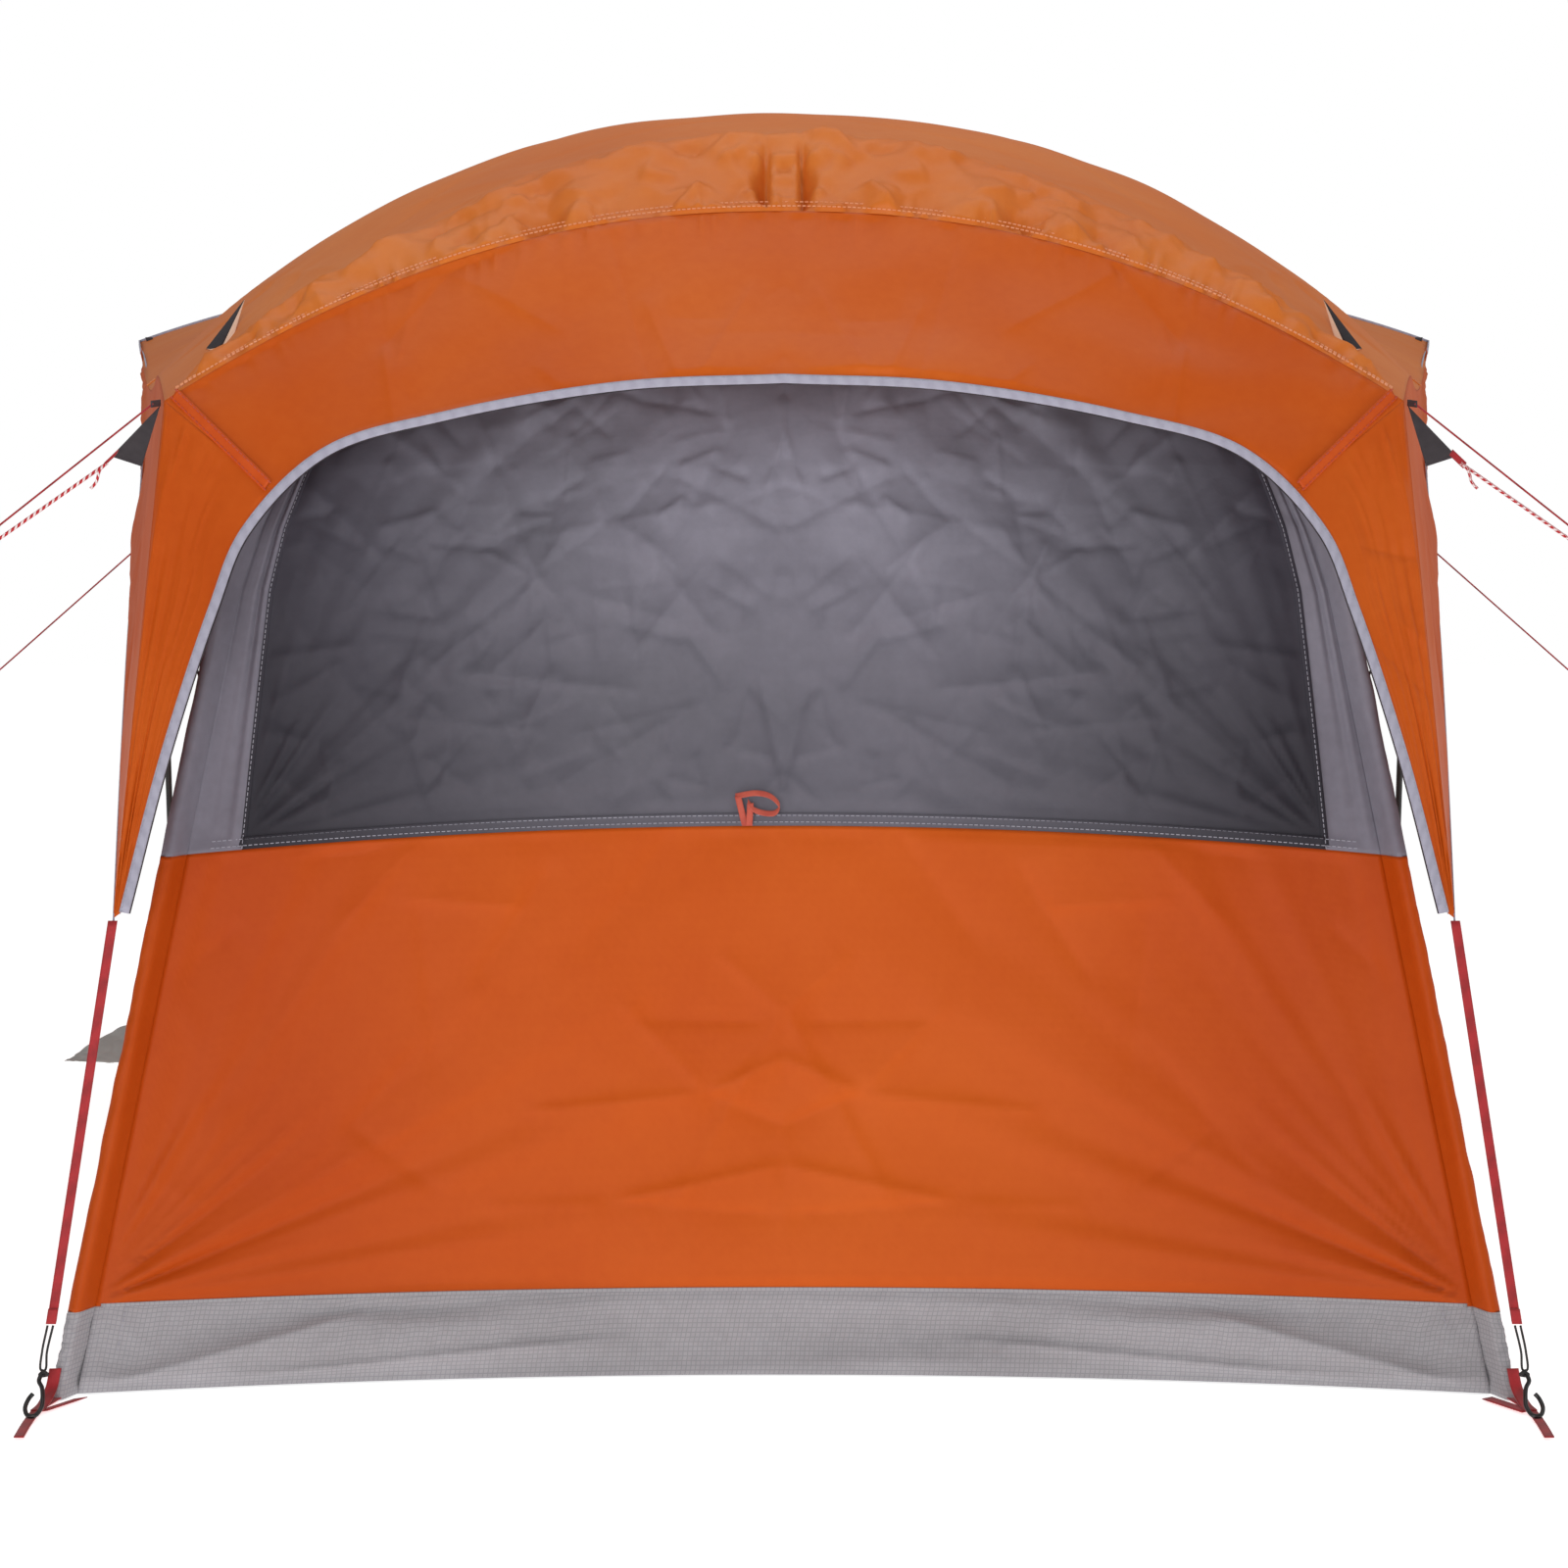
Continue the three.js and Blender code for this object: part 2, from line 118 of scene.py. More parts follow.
def foldLine(x, z, start, end, depth, width):
    # one crisp fold from start to end, fading at both ends
    dx, dz = end[0] - start[0], end[1] - start[1]
    span = math.hypot(dx, dz)
    along = ((x - start[0]) * dx + (z - start[1]) * dz) / span
    off = ((z - start[1]) * dx - (x - start[0]) * dz) / span
    ends = smooth(np.minimum(along, span - along) + width, 0.0, 0.12 * span + 2 * width)
    crisp = np.where(off > 0, np.exp(-off / (width * 3)), np.exp(off / width))
    return depth * crisp * ends


def packed(x, z, seed, count, longest, depth, width, low=None, high=None):
    # creases pressed in while the cloth was folded away, the same on both halves
    x = np.abs(x)
    low, high = (z.min() if low is None else low), (z.max() if high is None else high)
    rng = np.random.default_rng(seed)
    total = np.zeros_like(x)
    for _ in range(count):
        start = np.array([rng.uniform(-0.05, x.max()), rng.uniform(low, high)])
        angle, span = rng.uniform(0, math.pi), longest * rng.uniform(0.3, 1.0)
        end = start + span * np.array([math.cos(angle), math.sin(angle)])
        total = total + foldLine(x, z, start, end, depth * rng.uniform(-1, 1), width)
    return total


def curveThrough(path, t):
    # centripetal curve through the points, t from 0 to 1 in equal shares of the spans
    path = np.asarray(path, float)
    ends = np.vstack([2 * path[0] - path[1], path, 2 * path[-1] - path[-2]])
    t = np.asarray(t, float)
    place = np.clip(t, 0.0, 1.0) * (len(path) - 1)
    k = np.minimum(place.astype(int), len(path) - 2)
    w = (place - k)[..., None]
    p0, p1, p2, p3 = ends[k], ends[k + 1], ends[k + 2], ends[k + 3]
    gap = lambda a, b: np.maximum(np.linalg.norm(b - a, axis=-1, keepdims=True) ** 0.5, 1e-4)
    d0, d1, d2 = gap(p0, p1), gap(p1, p2), gap(p2, p3)
    t1 = ((p1 - p0) / d0 - (p2 - p0) / (d0 + d1) + (p2 - p1) / d1) * d1
    t2 = ((p2 - p1) / d1 - (p3 - p1) / (d1 + d2) + (p3 - p2) / d2) * d1
    return (p1 + t1 * w + (-3 * p1 + 3 * p2 - 2 * t1 - t2) * w ** 2
            + (2 * p1 - 2 * p2 + t1 + t2) * w ** 3)


# The tent's surfaces, as the frame has them
def sharpReach(z):
    p = tentPlan
    climbed = np.clip((z - p["kneeZ"]) / (p["crownZ"] - p["kneeZ"]), 0.0, 1.0)
    bent = p["kneeLean"] + (1 - p["kneeLean"]) * (1 - (1 - climbed) ** (1 / p["archPower"]))
    return np.where(z <= p["kneeZ"], p["kneeLean"] * z / p["kneeZ"], bent)


def reach(z):
    half = np.minimum(tentPlan["kneeRound"], tentPlan["crownZ"] - z)
    return sum(sharpReach(z + k * half) for k in (-1, -0.5, 0, 0.5, 1)) / 5


def onPole(side, end, z, inset=0.0):
    p = tentPlan
    z = np.asarray(z, float)
    foot = np.array([side * (p["farHalf"] if end else p["nearHalf"]), end * p["depth"]])
    plan = np.array([0.0, crossY]) - foot
    share = np.minimum(reach(z) + inset / np.linalg.norm(plan), 1.0)
    level = z - inset * np.clip((z - p["kneeZ"]) / (p["crownZ"] - p["kneeZ"]), 0, 1)
    return points(foot[0] + plan[0] * share, foot[1] + plan[1] * share - midY, level)


def brow(s):
    (y0, y1), (z0, z1) = fly["browY"], fly["browZ"]
    return points(s * fly["browHalf"], lerp(y1, y0, s * s) - midY, z1 - (z1 - z0) * np.abs(s) ** 2.2)


def archOf(part, s):
    half, y, z, drop, power = part
    return points(s * half, y - midY, z - drop * np.abs(s) ** power)


def flyTop(s, v):
    s, v = np.broadcast_arrays(s, v)
    start, top, end = brow(s), archOf(fly["ridge"], s), archOf(fly["eave"], s)
    y = lerp(start[..., 1], end[..., 1], v)
    w = (y - start[..., 1]) / (top[..., 1] - start[..., 1])
    w2 = (y - top[..., 1]) / (end[..., 1] - top[..., 1])
    near = w < 1
    x = np.where(near, lerp(start[..., 0], top[..., 0], w), lerp(top[..., 0], end[..., 0], w2))
    rise = np.sin(np.clip(w, 0, 1) * math.pi / 2)
    fall = 1 - np.cos(np.clip(w2, 0, 1) * math.pi / 2)
    z = np.where(near, lerp(start[..., 2], top[..., 2], rise), lerp(top[..., 2], end[..., 2], fall))
    return points(x, y, z)


archRoute = np.array([
    (0, 0.3, 1.495), (0.244, 0.298, 1.484), (0.511, 0.27, 1.437), (0.687, 0.23, 1.381),
    (0.8, 0.175, 1.261), (0.841, 0.125, 1.144), (0.899, 0.05, 0.931), (0.945, -0.021, 0.712)]) - (0, midY, 0)
wingRoute = np.array([
    (0.957, -0.018, 0.704), (1.024, 0.35, 0.939), (1.089, 0.7, 1.11), (1.164, 1.1, 1.235),
    (1.258, 1.6, 1.416), (1.44, 2.5, 1.655), (1.598, 3.17, 1.775)]) - (0, midY, 0)


def mirrored(p, side):
    return p * np.array([side, 1.0, 1.0])


def archEdge(a):
    return mirrorBySign(curveThrough(archRoute, np.abs(a)), a)


def mirrorBySign(p, a):
    p = p.copy()
    p[..., 0] = p[..., 0] * np.where(a < 0, -1.0, 1.0)
    return p


def visorAt(a, v):
    return lerp(brow(a), archEdge(a * fly["visorShare"]), v[..., None])


def legAt(side, a, v):
    fold = lerp(brow(np.ones(1))[0], np.array(fly["legTip"]) - (0, midY, 0), a[..., None])
    inner = curveThrough(archRoute, lerp(fly["visorShare"], 1.0, a))
    return mirrored(lerp(fold, inner, v[..., None]), side)


def wingAt(side, u, v):
    return mirrored(lerp(flyTop(np.ones_like(u), u), curveThrough(wingRoute, u), v[..., None]), side)


def wallAt(first, second, s, z, bow, direction):
    a, b = onPole(*first, z, tentPlan["bodyInset"]), onPole(*second, z, tentPlan["bodyInset"])
    slack = 4 * s * (1 - s) * bow * np.cos(np.minimum(z / body["wallTopZ"], 1) * math.pi / 2.4)
    return lerp(a, b, s[..., None]) + slack[..., None] * np.array(direction)


def nearWall(s, z):
    return wallAt((-1, 0), (1, 0), s, z, body["nearBow"], (0, 1, 0))


def farWall(s, z):
    return wallAt((1, 1), (-1, 1), s, z, 0.0, (0, -1, 0))


def sideWall(side):
    return lambda s, z: wallAt((side, 0), (side, 1), s, z, body["sideBow"], (-side, 0, 0))


# Materials
def linear(code):
    channels = [int(code[k:k + 2], 16) / 255 for k in (1, 3, 5)]
    return [c / 12.92 if c <= 0.04045 else ((c + 0.055) / 1.055) ** 2.4 for c in channels] + [1.0]


def addNode(tree, kind, settings=None, links=None, values=None, stops=(), **inputs):
    # one node with its settings, what feeds it, its own values and any colour stops
    node = tree.nodes.new(kind)
    for key, value in (settings or {}).items():
        setattr(node, key, value)
    for key, value in (values or {}).items():
        node.inputs[key].default_value = value
    for key, value in inputs.items():
        node.inputs[key.replace("_", " ")].default_value = value
    for key, source in (links or {}).items():
        tree.links.new(source, node.inputs[key])
    for k, (place, code) in enumerate(stops):
        elements = node.color_ramp.elements
        element = elements[k] if k < len(elements) else elements.new(place)
        element.position = place
        element.color = linear(code)
    return node


def newMaterial(name):
    material = bpy.data.materials.new(name)
    material.use_nodes = True
    material.node_tree.nodes.clear()
    return material, material.node_tree


# Settings every cloth shares: tone patches per metre, thread bars, how dull the coating is and where the
# painted shade falls
cloth = {
    "cloudScale": 2.2, "driftScale": 5.0, "fineScale": 60.0, "wander": 0.12, "fineShare": 0.25,
    "weaveCoarse": 0.3, "weaveHeight": 0.0006, "specular": 0.15, "ripstopShare": 0.8,
    "sideShare": 0.35, "shadeLow": 0.75, "shadeHigh": 1.45,
}


def clothMaterial(name, dark, base, light, rough, weaveMm, creaseMm, creaseDepth, weaveDepth=0.12,
                  ripstopMm=0.0, paintedSideShade=None, paintedHeightShade=None):
    # a soft mottled tone, ridged creases and a thread grid, drawn coarser than the real
    # thread spacing in weaveMm so that it shows; where asked, painted shade towards the sides and the hem
    material, tree = newMaterial(name)
    coords = addNode(tree, "ShaderNodeTexCoord").outputs["Object"]
    cloud = addNode(tree, "ShaderNodeTexNoise", links={"Vector": coords},
                    Scale=cloth["cloudScale"], Detail=4.0)
    drift = addNode(tree, "ShaderNodeTexNoise", links={"Vector": coords},
                    Scale=cloth["driftScale"], Detail=2.0)
    wander = addNode(tree, "ShaderNodeMix", {"data_type": "VECTOR"},
                     {4: coords, 5: drift.outputs["Color"]}, {0: cloth["wander"]})
    crease = addNode(tree, "ShaderNodeTexVoronoi", {"feature": "F1", "distance": "EUCLIDEAN"},
                     {"Vector": wander.outputs[1]}, Scale=1000.0 / creaseMm, Detail=1.0)
    fine = addNode(tree, "ShaderNodeTexNoise", links={"Vector": coords},
                   Scale=cloth["fineScale"], Detail=5.0)
    tone = addNode(tree, "ShaderNodeMath", {"operation": "MULTIPLY_ADD"},
                   {0: fine.outputs["Fac"], 2: cloud.outputs["Fac"]}, {1: cloth["fineShare"]})
    colour = addNode(tree, "ShaderNodeValToRGB", links={"Fac": tone.outputs[0]},
                     stops=[(0.38, dark), (0.6, base), (0.85, light)]).outputs["Color"]
    uv = addNode(tree, "ShaderNodeUVMap", {"uv_map": "cloth"}).outputs["UV"]
    threads = []
    for turn in (0.0, math.pi / 2):
        laid = addNode(tree, "ShaderNodeMapping", links={"Vector": uv}, Rotation=(0.0, 0.0, turn))
        wave = addNode(tree, "ShaderNodeTexWave", links={"Vector": laid.outputs["Vector"]},
                       Scale=1000.0 / weaveMm / (2 * math.pi) * cloth["weaveCoarse"], Distortion=0.4)
        threads.append(wave.outputs["Fac"])
    weave = addNode(tree, "ShaderNodeMath", {"operation": "MULTIPLY"}, {0: threads[0], 1: threads[1]})
    bump = addNode(tree, "ShaderNodeBump", links={"Height": crease.outputs["Distance"]},
                   Strength=creaseDepth, Distance=creaseMm / 12000)
    raised = addNode(tree, "ShaderNodeBump",
                     links={"Height": weave.outputs[0], "Normal": bump.outputs["Normal"]},
                     Strength=weaveDepth, Distance=cloth["weaveHeight"])
    tints = []
    if paintedSideShade or paintedHeightShade:
        apart = addNode(tree, "ShaderNodeSeparateXYZ", links={"Vector": coords})
    if ripstopMm:         # thicker threads in squares, drawn coarser than real so that they show
        grid = addNode(tree, "ShaderNodeTexBrick", {"offset": 0.0}, {"Vector": uv}, Scale=1.0,
                       Brick_Width=ripstopMm / 1000, Row_Height=ripstopMm / 1000,
                       Mortar_Size=ripstopMm / 9000, Color1=(1.0, 1.0, 1.0, 1.0),
                       Color2=(0.93, 0.93, 0.93, 1.0), Mortar=(0.72, 0.72, 0.74, 1.0))
        tints.append((cloth["ripstopShare"], grid.outputs["Color"]))
    if paintedSideShade:         # painted shade: the colour darkens towards the cloth's sides, where less light comes through it
        far = addNode(tree, "ShaderNodeMath", {"operation": "ABSOLUTE"}, {0: apart.outputs["X"]})
        spread = addNode(tree, "ShaderNodeMath", {"operation": "MULTIPLY_ADD"},
                         {0: cloud.outputs["Fac"], 2: far.outputs[0]}, {1: cloth["sideShare"]})
        shade = addNode(tree, "ShaderNodeValToRGB", links={"Fac": spread.outputs[0]},
                        stops=[(0.36, "#FFFFFF"), (0.62, paintedSideShade[0]), (0.92, paintedSideShade[1])])
        tints.append((1.0, shade.outputs["Color"]))
    if paintedHeightShade:       # painted shade: the colour darkens towards its hem
        high = addNode(tree, "ShaderNodeMapRange", links={"Value": apart.outputs["Z"]},
                       From_Min=cloth["shadeLow"], From_Max=cloth["shadeHigh"])
        shade = addNode(tree, "ShaderNodeValToRGB", links={"Fac": high.outputs["Result"]}, stops=paintedHeightShade)
        tints.append((1.0, shade.outputs["Color"]))
    for share, tint in tints:
        mix = addNode(tree, "ShaderNodeMix", {"data_type": "RGBA", "blend_type": "MULTIPLY"},
                      {6: colour, 7: tint}, {0: share})
        colour = mix.outputs[2]
    shader = addNode(tree, "ShaderNodeBsdfPrincipled",
                     links={"Base Color": colour, "Normal": raised.outputs["Normal"]}, Roughness=rough,
                     Specular_IOR_Level=cloth["specular"])
    addNode(tree, "ShaderNodeOutputMaterial", links={"Surface": shader.outputs[0]})
    return material


def webbingMaterial(name, dark, light, ribMm, rough=0.7):
    # flat woven tape: fine ribs across it, raised in the bump, with colour steps along them that are partly
    # the weave and partly painted highlight where they catch the light
    material, tree = newMaterial(name)
    coords = addNode(tree, "ShaderNodeTexCoord").outputs["Object"]
    uv = addNode(tree, "ShaderNodeUVMap", {"uv_map": "cloth"}).outputs["UV"]
    rib = addNode(tree, "ShaderNodeTexWave", {"bands_direction": "DIAGONAL"}, {"Vector": uv},
                  Scale=1000.0 / ribMm / 20.0, Distortion=0.6)
    noise = addNode(tree, "ShaderNodeTexNoise", links={"Vector": coords}, Scale=120.0, Detail=4.0)
    both = addNode(tree, "ShaderNodeMath", {"operation": "MULTIPLY_ADD"},
                   {0: rib.outputs["Fac"], 2: noise.outputs["Fac"]}, {1: 0.5})
    colour = addNode(tree, "ShaderNodeValToRGB", links={"Fac": both.outputs[0]},
                     stops=[(0.35, dark), (0.95, light)])
    bump = addNode(tree, "ShaderNodeBump", links={"Height": both.outputs[0]}, Strength=0.4, Distance=0.0008)
    shader = addNode(tree, "ShaderNodeBsdfPrincipled", links={
        "Base Color": colour.outputs["Color"], "Normal": bump.outputs["Normal"]}, Roughness=rough,
        Sheen_Weight=0.2)
    addNode(tree, "ShaderNodeOutputMaterial", links={"Surface": shader.outputs[0]})
    return material


def hardMaterial(name, dark, light, rough, grainMm, bumpDepth=0.15):
    # moulded or coated rod: near-even colour with a faint grain and uneven gloss
    material, tree = newMaterial(name)
    coords = addNode(tree, "ShaderNodeTexCoord").outputs["Object"]
    grain = addNode(tree, "ShaderNodeTexNoise", links={"Vector": coords}, Scale=1000.0 / grainMm, Detail=3.0)
    colour = addNode(tree, "ShaderNodeValToRGB", links={"Fac": grain.outputs["Fac"]},
                     stops=[(0.35, dark), (0.7, light)])
    gloss = addNode(tree, "ShaderNodeMapRange", links={"Value": grain.outputs["Fac"]},
                    To_Min=rough - 0.08, To_Max=rough + 0.1)
    bump = addNode(tree, "ShaderNodeBump", links={"Height": grain.outputs["Fac"]},
                   Strength=bumpDepth, Distance=0.0005)
    shader = addNode(tree, "ShaderNodeBsdfPrincipled", links={
        "Base Color": colour.outputs["Color"], "Normal": bump.outputs["Normal"],
        "Roughness": gloss.outputs["Result"]})
    addNode(tree, "ShaderNodeOutputMaterial", links={"Surface": shader.outputs[0]})
    return material


finish = {
    # thin polyester with a soft coating: smooth, low gloss; this roof copy is painted paler for the light
    # falling on it from above
    "roof": clothMaterial("coatedPolyesterRoofPaintedLight", "#CB6822", "#D06F28", "#D67932", 0.46, 2.4, 260, 0.16),
    # the front copy of the same cloth, with painted shade towards its sides
    "front": clothMaterial("coatedPolyesterFrontPaintedShade", "#C1510C", "#C85913", "#CF631D", 0.5, 2.4, 300, 0.12,
                           paintedSideShade=("#FCFAF8", "#F2E6DA")),
    # uncoated orange wall cloth, more saturated and duller, with painted shade towards its sides
    "wall": clothMaterial("orangeWallPolyester", "#BC4A07", "#C2510C", "#C85812", 0.55, 2.2, 340, 0.12,
                          paintedSideShade=("#FAF6F2", "#ECDCCC")),
    # thin breathable cloth that never hangs flat
    "pale": clothMaterial("greyBreathablePolyester", "#6E6A74", "#7B7782", "#88848F", 0.7, 2.0, 120, 0.25),
    # the same cloth, darker and well creased: painted light near its top, where light comes through it, and
    # painted shade towards its sides and hem
    "window": clothMaterial("darkCreasedPolyester", "#7C7983", "#87838F", "#928E9B", 0.62, 1.8, 90, 0.22,
                            paintedSideShade=("#D8D8D8", "#8E8C90"),
                            paintedHeightShade=[(0.05, "#B4B4B4"), (0.4, "#CECECE"), (0.9, "#FFFFFF")]),
    # heavier woven cloth with a square ripstop grid: grey, dull, creased at the corners
    "skirt": clothMaterial("greyRipstopWeave", "#949194", "#9E9B9E", "#A8A5A9", 0.66, 2.6, 160, 0.2,
                           ripstopMm=7.0),
    # coated groundsheet: darker and smoother, with broad soft creases
    "floor": clothMaterial("coatedGroundsheet", "#55555A", "#68686D", "#78787D", 0.45, 4.0, 200, 0.12),
    # folded polyester tape: pale, flat and finely ribbed
    "binding": webbingMaterial("greyBindingTape", "#9A97A7", "#A5A2B2", 2.0),
    # woven polyester webbing: deep red, dull, with ribs across
    "red": webbingMaterial("redWovenWebbing", "#8A0A12", "#A3121B", 4.0),
    # thinner tape in a paler, duller red
    "loop": webbingMaterial("paleDullRedTape", "#A63C2C", "#B84D3A", 4.0),
    # close-woven reinforcing cloth: nearly black, no shine
    "tab": clothMaterial("darkReinforcingCloth", "#2A2628", "#3D373A", "#4C4649", 0.6, 2.0, 60, 0.25),
    # loose woven cloth lying on the ground, painted paler to lift the shade it lies in
    "flap": clothMaterial("paleGroundCloth", "#A7A6A3", "#B4B3B0", "#C0BFBC", 0.7, 2.6, 90, 0.3),
    # rubber cord in a woven sleeve: dull black
    "elastic": hardMaterial("blackElasticCord", "#0B0A0A", "#1E1B1A", 0.6, 3.0, 0.4),
    # moulded acetal: black with a low soft gloss
    "hook": hardMaterial("mouldedBlackAcetal", "#0C0C0C", "#191818", 0.35, 1.5),
    # wrapped fibreglass rod: black, satin
    "pole": hardMaterial("wrappedBlackFibreglass", "#0D0C0C", "#1B1918", 0.38, 2.0),
    # powder-coated steel tube: fine orange-peel grain
    "upright": hardMaterial("powderCoatedSteelTube", "#100E0D", "#1D1A18", 0.42, 1.0, 0.25),
    # several layers of the fly cloth, slightly darker than one
    "seam": clothMaterial("shoulderSeamCloth", "#B8430F", "#C24C16", "#CC5A22", 0.5, 2.4, 60, 0.4),
    # fine mesh with painted shade: nearly black, standing for the shaded inside of the vent
    "vent": clothMaterial("ventMeshPaintedShade", "#1D1B1E", "#2C2A2E", "#3A383D", 0.7, 2.0, 80, 0.2),
    # the back of the fly cloth, with painted light: pale for the light that comes through it
    "lining": clothMaterial("paleVentFlap", "#D9A98A", "#E3B79B", "#ECC7AF", 0.6, 2.0, 60, 0.2),
    # polyester stitching, lighter than the cloth it is in
    "thread": webbingMaterial("orangeStitchThread", "#D98A5C", "#E9A47C", 1.0),
    "greyThread": webbingMaterial("greyStitchThread", "#8F8D99", "#B8B6C0", 1.0),
    "redThread": webbingMaterial("redStitchThread", "#B03A14", "#C44A20", 1.0),
}
print("materials made")


# Cloth from a surface
tentCentre = np.array([0.0, 0.0, 0.7])


def surfaceNormals(p):
    alongU = np.gradient(p, axis=1)
    alongV = np.gradient(p, axis=0)
    n = np.cross(alongU, alongV)
    n /= np.maximum(np.linalg.norm(n, axis=-1, keepdims=True), 1e-9)
    outward = np.sum(n * (p - tentCentre), axis=-1).mean()
    return n if outward > 0 else -n


def gridMesh(name, p, material):
    rows, columns = p.shape[:2]
    index = np.arange(rows * columns).reshape(rows, columns)
    quads = np.stack([index[:-1, :-1], index[:-1, 1:], index[1:, 1:], index[1:, :-1]], axis=-1)
    quads = quads.reshape(-1, 4)
    alongU, alongV = np.gradient(p, axis=1), np.gradient(p, axis=0)
    face = np.cross(alongU, alongV)
    if np.sum(face * (p - tentCentre), axis=-1).mean() < 0:
        quads = quads[:, ::-1]
    mesh = bpy.data.meshes.new(name)
    mesh.from_pydata(p.reshape(-1, 3).tolist(), [], quads.tolist())
    width = np.cumsum(np.linalg.norm(np.diff(p, axis=1, prepend=p[:, :1]), axis=-1), axis=1)
    length = np.cumsum(np.linalg.norm(np.diff(p, axis=0, prepend=p[:1]), axis=-1), axis=0)
    flat = np.stack([width, length], axis=-1).reshape(-1, 2)
    layer = mesh.uv_layers.new(name="cloth")
    loops = np.empty(len(mesh.loops), dtype=np.int32)
    mesh.loops.foreach_get("vertex_index", loops)
    layer.data.foreach_set("uv", flat[loops].ravel())
    mesh.polygons.foreach_set("use_smooth", [True] * len(mesh.polygons))
    mesh.materials.append(material)
    obj = bpy.data.objects.new(name, mesh)
    bpy.context.collection.objects.link(obj)
    return obj


def flatSize(p):
    width = np.linalg.norm(np.diff(p, axis=1), axis=-1).sum(axis=1).max()
    length = np.linalg.norm(np.diff(p, axis=0), axis=-1).sum(axis=0).max()
    a, b = p[1:, 1:] - p[:-1, :-1], p[1:, :-1] - p[:-1, 1:]
    area = np.linalg.norm(np.cross(a, b), axis=-1).sum() / 2
    return float(width), float(length), float(area)


# of its rectangle that a declared cut is made to fill
leastShare = 0.31       # of its rectangle that a cut is taken to fill when its length is worked out


def makeCloth(name, at, columns, rows, folds, material, replaced, rider="tent", thickness=0.0012,
              declare=True):
    u, v = np.meshgrid(np.linspace(0, 1, columns + 1), np.linspace(0, 1, rows + 1))
    p = at(u, v)
    width, length, area = flatSize(p)
    if folds is not None:
        p = p + surfaceNormals(p) * folds(u, v, p)[..., None]
    obj = gridMesh(name, p, material)
    thicken(obj, thickness)
    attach(obj, rider)
    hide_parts(*replaced)
    if declare:
        # The wings fill 0.23 of theirs, so their length is set from that limit here. It is not a measure: the
        # measured one is 0.797, not 0.599
        length = min(length, area / (leastShare * width))
    return obj


def thicken(obj, thickness, offset=0.0):
    solid = obj.modifiers.new("thickness", "SOLIDIFY")
    solid.thickness = thickness
    solid.offset = offset


def carry(obj, replaced=(), rider="tent"):
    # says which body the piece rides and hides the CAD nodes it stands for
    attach(obj, rider)
    if replaced:
        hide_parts(*replaced)
    return obj


def edgeFade(u, v, margin=0.06):
    return smooth(np.minimum(np.minimum(u, 1 - u), np.minimum(v, 1 - v)), 0.0, margin)


# Fly
gather = {"band": 0.17, "puff": 0.044, "pleatX": 0.028, "pleatDepth": 0.05}


def crownFolds(u, v, p):
    s = 2 * u - 1
    y0 = brow(s)[..., 1]
    away = p[..., 1] - y0                       # distance behind the brow seam
    x = p[..., 0]
    band = gather["band"] * (1 - np.abs(s) ** 1.6) + 0.03
    share = away / band
    lift = np.where(share < 1, np.clip(share, 0, 1) ** 0.85, np.exp(-(share - 1) * 1.1))
    d = gather["puff"] * lift * (1 - 0.75 * np.abs(s) ** 1.5)
    ruffle = ridged(s * 44, away * 7, 11) * 0.010 * np.exp(-away / 0.045)
    crumpled = packed(x, away, 16, 170, 0.13, 0.016, 0.009, 0.0, 0.22) * np.exp(-(away / (1.15 * band)) ** 4)
    tucks = (valueNoise(s * 17, away * 5, 12) * 0.014 * np.exp(-(away / (0.9 * band)) ** 2)
             * smooth(away, 0, 0.03))
    slope = valueNoise(s * 9 + away * 4, away * 2.2, 13) * 0.003 * smooth(away, 0.05, 0.3)
    crease = packed(x, p[..., 1], 14, 34, 0.6, 0.006, 0.012) * smooth(away, 0.1, 0.3)
    crisp = crumple(x, p[..., 1], 0.07, 15, 2) * 0.006 * np.exp(-((away - band) / 0.06) ** 2)
    reachDown = np.clip(away / 0.16, 0, 1)
    open_ = 0.005 + 0.014 * np.sin(math.pi * np.clip(1.0 - reachDown, 0, 1)) * (reachDown < 1)
    for side in (-1, 1):
        off = side * x - gather["pleatX"]
        notch = np.where(off > 0, np.exp(-(off / open_) ** 2), np.exp(-(off / 0.004) ** 2))
        d = d - (gather["pleatDepth"] * notch * np.exp(-((away - 0.075) / 0.065) ** 2)
                 * smooth(away, 0.0, 0.02))
    fade = smooth(np.minimum(u, 1 - u), 0.0, 0.03) * smooth(1 - v, 0.0, 0.06)
    return (d + ruffle + tucks + slope + crease + crisp + crumpled) * fade * smooth(away, 0.0, 0.004)


def awningFolds(u, v, p):
    pull = valueNoise((2 * u - 1) * 7, v * 2, 21) * 0.008
    return (pull + packed(p[..., 0], p[..., 1], 22, 24, 0.5, 0.006, 0.012)) * edgeFade(u, v, 0.06)


def visorFolds(u, v, p):
    x, z = p[..., 0], p[..., 2]
    below = v
    ruffle = ridged(u * 92, v * 2, 31) * 0.0045 * np.exp(-below / 0.10)
    long_ = valueNoise(u * 5, v * 3.2, 32) * 0.007
    drawn = valueNoise(u * 12 + v * 3, v * 1.5, 33) * 0.003
    fine = packed(x, z, 34, 40, 0.35, 0.004, 0.010)
    return (ruffle + long_ + drawn + fine) * smooth(np.minimum(v, 1 - v), 0.0, 0.05) * smooth(
        np.minimum(u, 1 - u), 0.0, 0.03)


